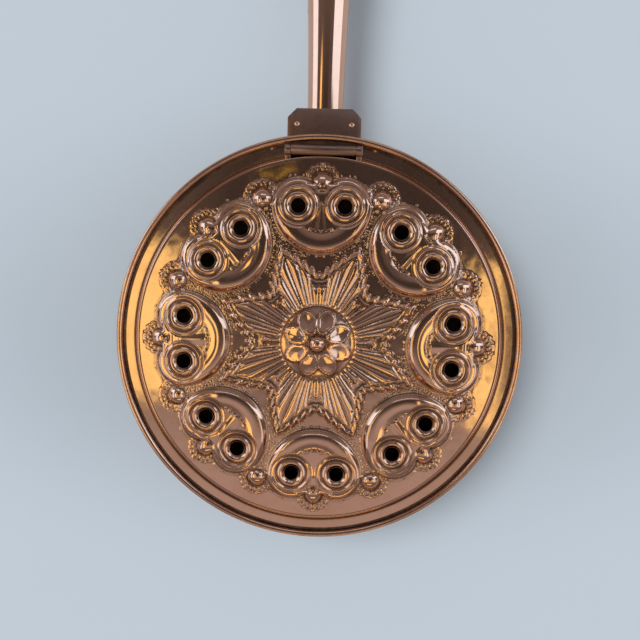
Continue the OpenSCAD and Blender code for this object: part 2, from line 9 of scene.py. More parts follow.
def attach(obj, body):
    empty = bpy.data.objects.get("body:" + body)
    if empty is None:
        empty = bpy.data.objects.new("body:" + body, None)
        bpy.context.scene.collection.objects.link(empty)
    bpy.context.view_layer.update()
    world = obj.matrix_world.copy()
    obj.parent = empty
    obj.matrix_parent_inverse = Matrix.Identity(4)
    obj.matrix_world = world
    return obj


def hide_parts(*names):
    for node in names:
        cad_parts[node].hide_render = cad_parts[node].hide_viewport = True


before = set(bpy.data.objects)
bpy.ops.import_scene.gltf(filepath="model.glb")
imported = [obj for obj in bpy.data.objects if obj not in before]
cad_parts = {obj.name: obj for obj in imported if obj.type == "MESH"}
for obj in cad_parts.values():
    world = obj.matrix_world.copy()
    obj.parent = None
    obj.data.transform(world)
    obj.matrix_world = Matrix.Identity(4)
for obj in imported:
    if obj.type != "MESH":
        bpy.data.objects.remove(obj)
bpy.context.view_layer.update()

mm = 0.001


# small helpers used by every piece

def clearSelection():
    if bpy.context.mode != "OBJECT":
        bpy.ops.object.mode_set(mode="OBJECT")
    bpy.ops.object.select_all(action="DESELECT")


def startEditing(piece):
    clearSelection()
    bpy.context.view_layer.objects.active = piece
    piece.select_set(True)
    bpy.ops.object.mode_set(mode="EDIT")
    bpy.ops.mesh.select_all(action="DESELECT")


def stopEditing():
    bpy.ops.mesh.select_mode(type="VERT")
    bpy.ops.object.mode_set(mode="OBJECT")


def pickFaces(piece, wanted):
    # selects the faces for which wanted(centre, normal) is true, then goes back to edit mode
    bpy.ops.mesh.select_mode(type="FACE")
    bpy.ops.mesh.select_all(action="DESELECT")
    bpy.ops.object.mode_set(mode="OBJECT")
    for face in piece.data.polygons:
        face.select = bool(wanted(face.center, face.normal))
    bpy.ops.object.mode_set(mode="EDIT")


def pickEdges(piece, wanted):
    # the same for edges, by their two end points
    bpy.ops.mesh.select_mode(type="EDGE")
    bpy.ops.mesh.select_all(action="DESELECT")
    bpy.ops.object.mode_set(mode="OBJECT")
    points = piece.data.vertices
    for edge in piece.data.edges:
        edge.select = bool(wanted(*(points[k].co for k in edge.vertices)))
    bpy.ops.object.mode_set(mode="EDIT")


def applyModifier(piece, kind, **settings):
    clearSelection()
    bpy.context.view_layer.objects.active = piece
    piece.select_set(True)
    modifier = piece.modifiers.new(kind.title(), kind)
    for key, value in settings.items():
        setattr(modifier, key, value)
    bpy.ops.object.modifier_apply(modifier=modifier.name)


def breakEdges(piece, width):
    applyModifier(piece, "BEVEL", width=width * mm, segments=2, limit_method="ANGLE",
        angle_limit=math.radians(40))


def copyOf(source):
    piece = source.copy()
    piece.data = source.data.copy()
    bpy.context.collection.objects.link(piece)
    return piece


def tidyMesh(piece, distance=0.01):
    startEditing(piece)
    bpy.ops.mesh.select_all(action="SELECT")
    bpy.ops.mesh.remove_doubles(threshold=distance * mm)
    bpy.ops.mesh.normals_make_consistent(inside=False)
    stopEditing()


def finishPiece(piece, name, body, material, nodes=(), angle=32):
    clearSelection()
    bpy.context.view_layer.objects.active = piece
    piece.select_set(True)
    bpy.ops.object.transform_apply(location=True, rotation=True, scale=True)
    if angle:
        bpy.ops.object.shade_smooth_by_angle(angle=math.radians(angle))
    piece.name = piece.data.name = name
    if material:
        piece.data.materials.clear()
        piece.data.materials.append(material)
    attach(piece, body)
    if nodes:
        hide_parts(*nodes)
    return piece


def turnRings(rings, origin, axis, sides, fillStart=True, fillEnd=True):
    # a lathe by hand: one circle, then each ring is extruded along the axis and scaled to its radius
    clearSelection()
    axis, origin = Vector(axis), Vector(origin)
    turn = Vector((0, 0, 1)).rotation_difference(axis).to_euler()
    start, radius = rings[0]
    bpy.ops.mesh.primitive_circle_add(vertices=sides, radius=radius * mm, rotation=turn,
        fill_type="NGON" if fillStart else "NOTHING", location=origin + axis * start * mm)
    piece = bpy.context.object
    bpy.ops.object.mode_set(mode="EDIT")
    bpy.ops.mesh.select_all(action="SELECT")
    if fillStart:
        bpy.ops.mesh.duplicate()  # the cap stays behind, its copy's rim is carried on
        bpy.ops.mesh.delete(type="ONLY_FACE")
        bpy.ops.object.mode_set(mode="OBJECT")
        for vertex in piece.data.vertices:
            vertex.select = vertex.index >= sides
        bpy.ops.object.mode_set(mode="EDIT")
    for (s0, r0), (s1, r1) in zip(rings, rings[1:]):
        bpy.ops.mesh.extrude_edges_move(
            TRANSFORM_OT_translate={"value": tuple(axis * (s1 - s0) * mm)})
        if abs(r1 - r0) > 1e-6:
            bpy.ops.transform.resize(value=(r1 / r0,) * 3,
                center_override=tuple(origin + axis * s1 * mm))
    if fillEnd:
        bpy.ops.mesh.edge_face_add()
    stopEditing()
    tidyMesh(piece)
    return piece


# materials: every one reads object coordinates, and the lid's own attributes where it has them

class NodeBench:
    # a short way to lay nodes on one tree
    def __init__(self, tree):
        self.tree = tree
        self.tree.nodes.clear()

    def add(self, kind, inputs=None, **settings):
        node = self.tree.nodes.new(kind)
        for key, value in settings.items():
            setattr(node, key, value)
        for key, value in (inputs or {}).items():
            if isinstance(value, bpy.types.NodeSocket):
                self.tree.links.new(value, node.inputs[key])
            else:
                node.inputs[key].default_value = value
        return node

    def math(self, operation, first, second=None, clamp=False):
        inputs = {0: first} if second is None else {0: first, 1: second}
        return self.add("ShaderNodeMath", inputs, operation=operation, use_clamp=clamp).outputs[0]

    def ramp(self, value, stops):
        node = self.add("ShaderNodeValToRGB", {"Fac": value})
        while len(node.color_ramp.elements) < len(stops):
            node.color_ramp.elements.new(0.5)
        for element, (place, colour) in zip(node.color_ramp.elements, stops):
            element.position = place
            element.color = (*colour, 1)
        return node.outputs["Color"]

    def noise(self, vector, scale, detail=2.0, roughness=0.5, distortion=0.0):
        return self.add("ShaderNodeTexNoise", {"Vector": vector, "Scale": scale, "Detail": detail,
            "Roughness": roughness, "Distortion": distortion}).outputs["Fac"]

    def stretch(self, vector, factors, turn=(0, 0, 0)):
        return self.add("ShaderNodeMapping", {"Vector": vector, "Scale": factors,
            "Rotation": turn}).outputs["Vector"]

    def mixColour(self, factor, first, second):
        node = self.add("ShaderNodeMix", data_type="RGBA")
        for place, value in ((0, factor), (6, first), (7, second)):
            if isinstance(value, bpy.types.NodeSocket):
                self.tree.links.new(value, node.inputs[place])
            elif place:
                node.inputs[place].default_value = (*value, 1)
            else:
                node.inputs[place].default_value = value
        return node.outputs[2]

    def mapped(self, value, fromLow, fromHigh, toLow, toHigh, smooth=False):
        return self.add("ShaderNodeMapRange", {"Value": value, "From Min": fromLow,
            "From Max": fromHigh, "To Min": toLow, "To Max": toHigh},
            interpolation_type="SMOOTHSTEP" if smooth else "LINEAR").outputs["Result"]


def metalMaterial(name, look):
    # polished or satin sheet: patina in patches, fine rubbing marks, and dark tarnish in hollows
    material = bpy.data.materials.new(name)
    material.use_nodes = True
    bench = NodeBench(material.node_tree)
    where = bench.add("ShaderNodeTexCoord").outputs["Object"]
    patch = bench.noise(where, look["patchScale"], 4.0, 0.55, 0.4)
    fine = bench.noise(where, look["patchScale"] * look["speckTimes"], 3.0, 0.6)
    rubbed = bench.noise(bench.stretch(where, look["rubAlong"]), look["rubScale"], 3.0, 0.65)
    hollow = bench.add("ShaderNodeAttribute", attribute_name="tarnish").outputs["Fac"]
    stipple = bench.add("ShaderNodeAttribute", attribute_name="stipple").outputs["Fac"]
    colour = bench.mixColour(bench.mapped(patch, 0.35, 0.7, 0, 1, True),
        look["colour"], look["patina"])
    colour = bench.mixColour(bench.mapped(fine, 0.5, 0.8, 0, look["speck"]), colour, look["tarnish"])
    dark = bench.math("MULTIPLY", hollow, look["hollowShare"], True)
    colour = bench.mixColour(dark, colour, look["tarnish"])
    rough = bench.mapped(patch, 0.3, 0.75, *look["roughness"])
    rough = bench.math("ADD", rough, bench.mapped(rubbed, 0.45, 0.8, 0, look["rubRoughness"]))
    rough = bench.math("ADD", rough, bench.math("MULTIPLY", hollow, look["hollowRoughness"]), True)
    pits = bench.add("ShaderNodeTexVoronoi", {"Vector": where, "Scale": look["punchScale"]})
    pit = bench.mapped(pits.outputs["Distance"], 0, look["punchRadius"], 0, 1, True)
    punched = bench.math("MULTIPLY", pit, stipple)
    wave = bench.noise(where, look["waveScale"], 2.0, 0.5)
    height = bench.math("ADD", bench.math("MULTIPLY", rubbed, look["rubHeight"]),
        bench.math("MULTIPLY", wave, look["waveHeight"]))
    height = bench.math("ADD", height, bench.math("MULTIPLY", punched, look["punchHeight"]))
    bump = bench.add("ShaderNodeBump", {"Height": height, "Strength": 1.0, "Distance": 0.001})
    shader = bench.add("ShaderNodeBsdfPrincipled", {"Base Color": colour, "Metallic": 1.0,
        "Roughness": rough, "Normal": bump.outputs["Normal"]})
    bench.add("ShaderNodeOutputMaterial", {"Surface": shader.outputs[0]})
    return material


copperLook = {
    "colour": (0.80, 0.435, 0.29), "patina": (0.74, 0.385, 0.25), "tarnish": (0.10, 0.042, 0.018),
    "patchScale": 26.0, "speck": 0.10, "speckTimes": 9, "hollowShare": 0.85, "hollowRoughness": 0.22,
    "rubAlong": (1.0, 1.0, 1.0), "rubScale": 260, "rubRoughness": 0.04, "rubHeight": 0.0035,
    "roughness": (0.055, 0.10), "waveScale": 95, "waveHeight": 0.03,
    "punchScale": 640.0, "punchRadius": 0.62, "punchHeight": 0.14,
}
polishedCopper = metalMaterial("polishedCopper", copperLook)
turnedCopper = metalMaterial("turnedCopper", {**copperLook, "rubAlong": (1.0, 0.06, 1.0),
    "roughness": (0.05, 0.09), "waveHeight": 0.010})
spunCopper = metalMaterial("spunCopper", {**copperLook, "rubAlong": (1.0, 1.0, 5.0),
    "roughness": (0.11, 0.20), "waveHeight": 0.02, "patina": (0.66, 0.33, 0.21), "speck": 0.2})
# soot for the bowl's hollow side, also used as painted shade in the groove under the lid's edge
sootAndShadeCopper = metalMaterial("sootAndShadeCopper", {**copperLook, "colour": (0.27, 0.155, 0.11),
    "patina": (0.12, 0.08, 0.065), "tarnish": (0.05, 0.035, 0.03), "roughness": (0.32, 0.5),
    "speck": 0.7, "rubHeight": 0.02, "waveHeight": 0.06, "patchScale": 34.0})
satinCopper = metalMaterial("satinCopper", {**copperLook, "colour": (0.43, 0.25, 0.195),
    "patina": (0.33, 0.185, 0.14), "roughness": (0.24, 0.36), "rubAlong": (0.1, 1.0, 1.0),
    "rubHeight": 0.012, "speck": 0.3})
brightCopper = metalMaterial("brightCopper", {**copperLook, "roughness": (0.10, 0.18),
    "patchScale": 90.0, "waveHeight": 0.05})
dullSteel = metalMaterial("dullSteel", {**copperLook, "colour": (0.42, 0.42, 0.43),
    "patina": (0.27, 0.26, 0.26), "tarnish": (0.12, 0.06, 0.035), "roughness": (0.33, 0.5),
    "speck": 0.45, "rubHeight": 0.02, "waveHeight": 0.05, "patchScale": 60.0})


woodLook = {
    "early": (0.27, 0.125, 0.058), "late": (0.13, 0.055, 0.026), "light": (0.42, 0.215, 0.105),
    "stain": (0.16, 0.07, 0.035), "pore": (0.05, 0.022, 0.012), "stainShare": 0.45, "poreShare": 0.7,
    "ringScale": 95.0, "ringTilt": (0.1, 0.35, 0), "ringShare": 0.6, "fibreShare": 0.55,
    "fibreHeight": 0.03, "poreHeight": 0.05, "roughness": (0.27, 0.40), "poreRoughness": 0.2,
    "wax": 0.25, "waxRoughness": 0.22,
}


def woodMaterial():
    # stained and waxed hardwood, its grain running along the handle
    look = woodLook
    material = bpy.data.materials.new("waxedWood")
    material.use_nodes = True
    bench = NodeBench(material.node_tree)
    where = bench.add("ShaderNodeTexCoord").outputs["Object"]

    def along(share, scale, *detail):
        return bench.noise(bench.stretch(where, (1, share, 1)), scale, *detail)
    bent = along(0.25, 14, 2.0)
    shift = bench.add("ShaderNodeCombineXYZ", {"X": bench.math("MULTIPLY", bent, 0.05),
        "Z": bench.math("MULTIPLY", bent, 0.03)}).outputs[0]
    shifted = bench.add("ShaderNodeVectorMath", {0: where, 1: shift}, operation="ADD").outputs[0]
    ringsWave = bench.add("ShaderNodeTexWave", {
        "Vector": bench.stretch(shifted, (1, 0.05, 1), look["ringTilt"]), "Scale": look["ringScale"],
        "Distortion": 3.5, "Detail": 3.0, "Detail Scale": 1.2}, wave_type="BANDS",
        bands_direction="X").outputs["Fac"]
    fibre = along(0.035, 900, 4.0, 0.7)
    pores = along(0.07, 1500, 2.0, 0.5)
    cloud = along(0.4, 22, 3.0)
    grain = bench.math("ADD", bench.math("MULTIPLY", ringsWave, look["ringShare"]),
        bench.math("MULTIPLY", fibre, look["fibreShare"]))
    colour = bench.ramp(grain, [(0.25, look["late"]), (0.6, look["early"]), (0.95, look["light"])])
    stained = bench.mapped(cloud, 0.4, 0.7, 0, look["stainShare"], True)
    colour = bench.mixColour(stained, colour, look["stain"])
    dark = bench.mapped(pores, 0.62, 0.72, 0, look["poreShare"])
    colour = bench.mixColour(dark, colour, look["pore"])
    height = bench.math("SUBTRACT", bench.math("MULTIPLY", fibre, look["fibreHeight"]),
        bench.math("MULTIPLY", dark, look["poreHeight"]))
    bump = bench.add("ShaderNodeBump", {"Height": height, "Strength": 1.0, "Distance": 0.001})
    rough = bench.math("ADD", bench.mapped(cloud, 0.3, 0.7, *look["roughness"]),
        bench.math("MULTIPLY", dark, look["poreRoughness"]))
    shader = bench.add("ShaderNodeBsdfPrincipled", {"Base Color": colour, "Roughness": rough,
        "Normal": bump.outputs["Normal"], "Coat Weight": look["wax"],
        "Coat Roughness": look["waxRoughness"]})
    bench.add("ShaderNodeOutputMaterial", {"Surface": shader.outputs[0]})
    return material


waxedWood = woodMaterial()
print("materials ready")


# camera, floor and light, as the photograph was taken: from above, leaning a little over the lid

photoView = {"lens": 29.25, "distance": 359.17, "tiltX": 4.95, "tiltY": -1.32, "roll": -1.75,
    "slideX": -1.58, "slideY": -15.12, "rimLevel": 59.25}


def setCamera():
    v = photoView
    turn = (Matrix.Rotation(math.radians(v["tiltX"]), 4, "X")
        @ Matrix.Rotation(math.radians(v["tiltY"]), 4, "Y")
        @ Matrix.Rotation(math.radians(v["roll"]), 4, "Z"))
    back = turn.transposed()
    place = back @ Vector((-v["slideX"], -v["slideY"], v["distance"]))
    place += Vector((0, 0, v["rimLevel"]))
    data = bpy.data.cameras.new("photoCamera")
    data.lens, data.sensor_width = v["lens"], 36.0
    data.clip_start, data.clip_end = 0.01, 60.0
    camera = bpy.data.objects.new("photoCamera", data)
    bpy.context.collection.objects.link(camera)
    camera.matrix_world = Matrix.Translation(place * mm) @ back
    bpy.context.scene.camera = camera


# floorColour is the colour inside the painted shadow round the pan; lift and the places after it pale
# the floor beyond that shadow
studio = {"floorSize": 90.0, "floorColour": (0.44, 0.50, 0.555), "cloudTint": (1.07, 1.06, 1.05),
    "cloudScale": 3.5, "lift": 1.24, "shadowFrom": 0.06, "shadowTo": 0.21, "shadowStretch": (0.45, 1.0, 1.0),
    "lampPower": 1.75, "lampPlace": (-0.75, 0.55, 1.45), "lampSpread": 30, "fill": 0.50,
    "fillTint": (1, 1, 1.02), "backdrop": 0.86, "backdropTint": (0.93, 0.97, 1)}


def tinted(level, tint):
    return tuple(level * share for share in tint)


def makeFloor():
    clearSelection()
    bpy.ops.mesh.primitive_plane_add(size=studio["floorSize"], location=(0, 0.3, 0))
    floor = bpy.context.object
    bpy.ops.object.transform_apply(location=True, rotation=True, scale=True)
    floor.name = "floor"
    material = bpy.data.materials.new("paleTable")
    material.use_nodes = True
    bench = NodeBench(material.node_tree)
    where = bench.add("ShaderNodeTexCoord").outputs["Object"]
    plain = studio["floorColour"]
    cloudy = tuple(level * share for level, share in zip(plain, studio["cloudTint"]))
    cloud = bench.mapped(bench.noise(where, studio["cloudScale"], 3.0), 0.3, 0.7, 0, 1, True)
    colour = bench.mixColour(cloud, plain, cloudy)
    # painted shadow: the floor is darker round the pan and a little paler away from it
    reach = bench.add("ShaderNodeVectorMath", {0: bench.stretch(where, studio["shadowStretch"])},
        operation="LENGTH").outputs["Value"]
    outsideShadow = bench.mapped(reach, studio["shadowFrom"], studio["shadowTo"], 0, 1, True)
    colour = bench.mixColour(outsideShadow, colour, tinted(studio["lift"], plain))
    shader = bench.add("ShaderNodeBsdfDiffuse", {"Color": colour})
    bench.add("ShaderNodeOutputMaterial", {"Surface": shader.outputs[0]})
    floor.data.materials.append(material)


def makeLight():
    data = bpy.data.lights.new("softLamp", "SUN")
    data.energy, data.angle = studio["lampPower"], math.radians(studio["lampSpread"])
    lamp = bpy.data.objects.new("softLamp", data)
    lamp.location = studio["lampPlace"]
    lamp.rotation_euler = (-lamp.location).to_track_quat("-Z", "Y").to_euler()
    lamp.visible_glossy = False
    bpy.context.collection.objects.link(lamp)


# what the metal reflects, placed by tilt: 0 overhead, 1 the horizon; across, then towards the handle
room = {
    "tint": (0.98, 0.98, 1.03),
    # grey levels, then the two places between which one level fades into the next
    "overhead": 0.12, "ceiling": 0.47, "nearSide": 0.20, "farSide": 0.11, "horizon": 0.17,
    "ceilingFade": (-0.19, -0.045), "nearFade": (-0.42, -0.27), "farFade": (0.14, 0.38),
    "horizonFade": (0.30, 0.08),
    # a dark patch overhead: left, right, near, far, softness, level
    "dark": (-0.125, 0.13, -0.03, 0.17, 0.04, 0.060),
    "lamps": [  # the same, with a colour for the level
        (-0.200, -0.126, -0.118, 0.000, 0.010, (1.42, 1.36, 0.64)),  # two warm ceiling strips
        (-0.200, -0.148, -0.020, 0.026, 0.010, (1.42, 1.36, 0.64)),
        (0.1300, 0.1590, -0.138, 0.014, 0.005, (1.42, 1.36, 0.64)),
        (-0.067, -0.053, 0.0893, 0.0918, 0.0012, (1.15, 0.97, 0.16)),  # two small gold ones
        (-0.054, -0.040, 0.0920, 0.0945, 0.0012, (1.15, 0.97, 0.16)),
        (-0.45, -0.29, -0.30, 0.06, 0.015, (1.80, 1.50, 0.62)),  # warm lamps lower down
        (0.27, 0.385, -0.26, 0.06, 0.015, (1.80, 1.50, 0.62)),
        (-0.31, -0.22, 0.11, 0.18, 0.015, (1.80, 1.45, 0.56)),
        (-0.22, 0.20, -0.64, -0.53, 0.015, (1.50, 1.25, 0.56)),
        (-0.72, -0.56, -0.42, 0.10, 0.015, (1.05, 1.45, 1.90)),  # cool windows
        (-1.00, -0.51, 0.10, 0.42, 0.015, (1.25, 1.75, 2.35)),
        (0.46, 0.61, -0.36, 0.17, 0.015, (1.05, 1.45, 1.90)),
        (0.31, 1.00, 0.17, 0.42, 0.015, (1.25, 1.75, 2.35)),
        (-0.26, 0.24, 0.50, 0.60, 0.015, (1.00, 1.35, 1.70)),
    ],
}


def makeWorld():
    world = bpy.data.worlds.new("room")
    bpy.context.scene.world = world
    world.use_nodes = True
    bench = NodeBench(world.node_tree)
    toward = bench.add("ShaderNodeTexCoord").outputs["Generated"]
    dx, dy, dz = bench.add("ShaderNodeSeparateXYZ", {0: toward}).outputs
    up = bench.math("ADD", bench.math("MAXIMUM", dz, -0.5), 1.0)
    x = bench.math("DIVIDE", dx, up)
    y = bench.math("DIVIDE", dy, up)

    def between(value, low, high, soft):
        rise = bench.mapped(value, low - soft, low + soft, 0, 1, True)
        fall = bench.mapped(value, high - soft, high + soft, 1, 0, True)
        return bench.math("MULTIPLY", rise, fall)

    def patch(left, right, near, far, soft):
        return bench.math("MULTIPLY", between(x, left, right, soft), between(y, near, far, soft))
    grey = bench.mapped(y, *room["ceilingFade"], room["ceiling"], room["overhead"], True)
    near = bench.mapped(y, *room["nearFade"], room["nearSide"], room["ceiling"], True)
    grey = bench.math("MINIMUM", grey, near)
    *place, level = room["dark"]
    grey = bench.add("ShaderNodeMix", {0: patch(*place), 2: grey, 3: level}).outputs[0]
    grey = bench.math("ADD", grey, bench.mapped(y, *room["farFade"], 0, room["farSide"], True))
    low = bench.mapped(dz, *room["horizonFade"], 0, room["horizon"], True)
    grey = bench.math("MAXIMUM", grey, low)
    red, green, blue = (bench.math("MULTIPLY", grey, share) for share in room["tint"])
    colour = bench.add("ShaderNodeCombineColor", {"Red": red, "Green": green, "Blue": blue}).outputs[0]
    for *place, glow in room["lamps"]:
        colour = bench.mixColour(patch(*place), colour, glow)
    path = bench.add("ShaderNodeLightPath")
    fill = tinted(studio["fill"], studio["fillTint"])
    shown = bench.mixColour(path.outputs["Is Glossy Ray"], fill, colour)
    backdrop = tinted(studio["backdrop"], studio["backdropTint"])
    shown = bench.mixColour(path.outputs["Is Camera Ray"], shown, backdrop)
    background = bench.add("ShaderNodeBackground", {"Color": shown, "Strength": 1.0})
    bench.add("ShaderNodeOutputWorld", {"Surface": background.outputs[0]})
    world.cycles.sampling_method = "NONE"  # the room has no bright spot to aim at


setCamera()
makeFloor()
makeLight()
makeWorld()
bpy.context.scene.view_settings.view_transform = "Standard"
print("camera, floor and light ready")


# the lid's relief: too fine for modifiers, so one height formula shapes a single pressed sheet

lidRelief = {
    "sectors": 8, "gauge": 0.8, "notchHalfWidth": 26.15, "notchIn": 124.8,
    # the bare sheet: raised field, slope, margin and the flat band that lies in the bowl's seat
    "slopeIn": 97.9, "slopeOut": 111.9, "marginOut": 124.4, "bandIn": 127.3, "edge": 133.5,
    "fieldLevel": 64.2, "marginLevel": 61.2, "bandLevel": 58.8,
    # vents: their place, the dish as radius and height from the hole outwards, and its fade
    "ventAcross": 15.6, "ventOut": 91.68, "dishFade": (12.7, 15.0),
    "dish": ((5.0, -0.35), (8.2, 2.3), (10.3, 1.25), (12.0, 2.6), (14.6, 1.5)),
    # cartouches: a shoulder round two lobes, and the crescent that cradles them
    "lobeOut": 94.0, "lobeRadius": 17.2, "shoulderRise": 2.1, "shoulderWidth": 3.4,
    "crescentOut": 93.0, "crescentIn": 18.8, "crescentCrest": 26.4, "crescentEdge": 33.2,
    "crescentRise": 3.8, "crescentRound": 4.0, "crescentArch": 1.45,
    # between the two dishes: a stem that widens inwards to a short bar with a drop at each end
    "stemRise": 2.6, "stemWidth": 2.6, "stemFlare": 0.36, "stemFrom": 90, "barOut": 18.4,
    "barRise": 0.5, "dropAcross": 7.4, "dropOut": 75.9, "dropRadius": 1.45,
    # beads, the scalloped fans on their outward side, and two small beads on the inward side
    "beadRadius": 7.4, "beadSink": 3.8, "outerBead": 108.0, "gapBead": 105.0,
    "outerFanTurn": 104, "gapFanTurn": 112, "fanStep": 20.5, "fanOutline": 10.0, "fanInner": 7.7,
    "fanPearls": 8.8, "smallBeads": ((0.0, -8.4), (4.6, -7.2)), "smallBeadRadius": 1.2,
    # star: outline, wavy border, inner line, the chevron in its points, and the flutes
    "starTip": 69.0, "starNotch": 46.5, "starHollow": 1.5, "starRise": 0.9, "borderRise": 0.95,
    "borderWidth": 1.15, "scallops": 5, "scallopDepth": 0.80, "innerLine": 4.0,
    "chevronLine": 7.9, "chevronRise": 0.45, "flutes": 6, "fluteRise": 1.35, "fluteStop": 3.3,
    "fluteStopAtTip": 5.2,
    # boss and flower
    "bossRadius": 24.5, "bossRise": 7.0, "petals": 8, "flowerTurn": 19.0, "petalOut": 15.4,
    "petalLength": 8.7, "petalWidth": 6.3, "petalFrom": 6.0, "petalRise": 0.9, "petalDip": 0.85,
    "heartRadius": 6.0, "heartRise": 3.8, "heartGroove": 7.0, "pearls": 24, "pearlRing": 9.3,
    "pearlRadius": 1.0,
    # a hand-chased sheet is never quite true: size and height of its slow and quick waves
    "slowWave": (17.0, 0.08), "quickWave": (5.2, 0.02),
}


def easeStep(value, low, high):
    t = np.clip((value - low) / (high - low), 0, 1)
    return t * t * (3 - 2 * t)


def roundLine(distance, width, height):
    return height * np.exp(-(distance / width) ** 2)


def fuse(first, second, soft):
    # the higher of two forms, with a small fillet where they meet
    gap = np.maximum(soft - np.abs(first - second), 0)
    return np.maximum(first, second) + gap * gap / (4 * soft)


def dome(distance, radius, sink):
    return np.sqrt(np.maximum(radius ** 2 - distance ** 2, 0)) - sink


def foldTurn(turn, step):
    # the angle from the nearest of the places that repeat at each step
    return (turn + step / 2) % step - step / 2


def unevenness(x, y, size, seed):
    # smooth waves between -1 and 1, the same at every run
    u, v = x / size, y / size
    i, j = np.floor(u), np.floor(v)
    fu, fv = u - i, v - j
    fu, fv = fu * fu * (3 - 2 * fu), fv * fv * (3 - 2 * fv)

    def corner(di, dj):
        hashed = np.sin((i + di) * 127.1 + (j + dj) * 311.7 + seed * 74.7) * 43758.5453
        return hashed - np.floor(hashed)
    low = corner(0, 0) * (1 - fu) + corner(1, 0) * fu
    high = corner(0, 1) * (1 - fu) + corner(1, 1) * fu
    return (low * (1 - fv) + high * fv) * 2 - 1


def foldSector(x, y):
    # radius, angle off the nearest cartouche's axis, then distance across and out along it
    r = np.hypot(x, y)
    off = np.abs(foldTurn(np.arctan2(x, y), 2 * math.pi / lidRelief["sectors"]))
    return r, off, r * np.sin(off), r * np.cos(off)


def starInside(r, off):
    # how far a point lies inside the star's plain and scalloped outlines, and how far its
    # direction is from the star's tip, 0, to the notch, 1
    f = lidRelief
    half = math.pi / f["sectors"]
    fromTip = np.clip(half - off, 0, half) / half
    span = f["starTip"] - f["starNotch"]
    reach = f["starNotch"] + span * (1 - fromTip) ** f["starHollow"]
    slope = span * f["starHollow"] * (1 - fromTip) ** (f["starHollow"] - 1) / half
    inside = (reach - r) / np.sqrt(1 + (slope / np.maximum(r, 20)) ** 2)
    wave = np.cos(2 * math.pi * f["scallops"] * fromTip ** 0.8)
    wavyInside = inside + f["scallopDepth"] * wave * easeStep(fromTip, 0.05, 0.2)
    return inside, wavyInside, fromTip


def starRelief(r, off):
    # raised ground with its border lines, and flutes that run from the boss into the points
    f = lidRelief
    half = math.pi / f["sectors"]
    inside, wavyInside, fromTip = starInside(r, off)
    star = f["starRise"] * easeStep(wavyInside, -2.0, 0.8)
    star = star + roundLine(wavyInside - 0.6, f["borderWidth"], f["borderRise"])
    star = star + roundLine(inside - f["innerLine"], 0.8, 0.16)
    chevron = roundLine(inside - f["chevronLine"], 1.1, f["chevronRise"])
    star = star + chevron * easeStep(fromTip, 0.62, 0.78) * easeStep(r, 25, 29)
    pitch = 2 * half / f["flutes"]
    crest = np.abs(np.sin(math.pi * (half - off) / pitch))
    start = easeStep(r, f["bossRadius"] - 0.2, f["bossRadius"] + 3.5)
    stop = f["fluteStop"] + f["fluteStopAtTip"] * easeStep(fromTip, 0.6, 0.85)
    end = np.sqrt(np.clip((inside - stop) / 2.4, 0, 1))
    rise = np.minimum(f["fluteRise"], 0.26 * r * pitch) * (1 - 0.2 * easeStep(fromTip, 0.5, 0.9))
    return star + rise * crest * start * end


def cartoucheInside(a, b):
    # how far a point lies inside the outline that both lobes and the crescent make
    f = lidRelief
    lobe = f["lobeRadius"] - np.hypot(a - f["ventAcross"], b - f["lobeOut"])
    beyond = np.where(b > f["crescentOut"], 4.0, 1.0)
    cradle = f["crescentEdge"] - np.hypot(a, (b - f["crescentOut"]) * beyond)
    return fuse(lobe, cradle, 1.0)


def ventDish(rho):
    (hole, lowest), (crest, highest) = lidRelief["dish"][:2]
    funnel = np.clip((crest - rho) / (crest - hole), 0, 1)
    height = np.where(rho < crest, highest - (highest - lowest) * funnel ** 2.0, lowest)
    for (r0, h0), (r1, h1) in zip(lidRelief["dish"][1:], lidRelief["dish"][2:]):
        height = np.where(rho >= r0, h0 + (h1 - h0) * easeStep(rho, r0, r1), height)
    return height


def cartoucheRelief(a, b):
    f = lidRelief
    inside = cartoucheInside(a, b)
    rim = np.clip(inside / f["shoulderWidth"], -1, 1)
    shoulder = f["shoulderRise"] * np.sin(rim * math.pi / 2)
    beyond = np.where(b > f["crescentOut"], 2.2, 1.0)
    dc = np.hypot(a, (b - f["crescentOut"]) * beyond)
    down = np.clip((f["crescentOut"] - b) / np.maximum(dc, 1), 0, 1)
    # the crescent is a broad, gently arched pillow with a steep rounded edge
    edge = np.clip((f["crescentEdge"] - dc) / f["crescentRound"], -1, 1)
    section = np.sin(edge * math.pi / 2)
    arch = f["crescentArch"] * ((dc - f["crescentCrest"]) / 7.0) ** 2
    crescent = f["crescentRise"] * section - arch
    crescent = crescent * easeStep(dc, f["crescentIn"] - 1.6, f["crescentIn"] + 1.2)
    height = fuse(shoulder, crescent * (0.62 + 0.38 * easeStep(down, 0.0, 0.7)), 0.9)
    width = f["stemWidth"] + f["stemFlare"] * np.maximum(0, f["stemFrom"] - b)
    stem = f["stemRise"] * np.exp(-(a / width) ** 2)
    stem = stem * (1 - easeStep(dc, f["barOut"] - 1.2, f["barOut"] + 0.3)) * (1 - easeStep(b, 92, 99))
    height = fuse(height, stem, 0.6)
    bar = roundLine(dc - f["barOut"] + 0.2, 0.8, f["barRise"]) * (1 - easeStep(a, 6.0, 8.0)) * (b < 85)
    drop = dome(np.hypot(a - f["dropAcross"], b - f["dropOut"]), f["dropRadius"], 0.5)
    height = fuse(height + bar, np.where(drop > -0.49, drop + 1.9, -2), 0.3)
    rho = np.hypot(a - f["ventAcross"], b - f["ventOut"])
    keep = easeStep(rho, *f["dishFade"])
    return ventDish(rho) * (1 - keep) + height * keep, inside


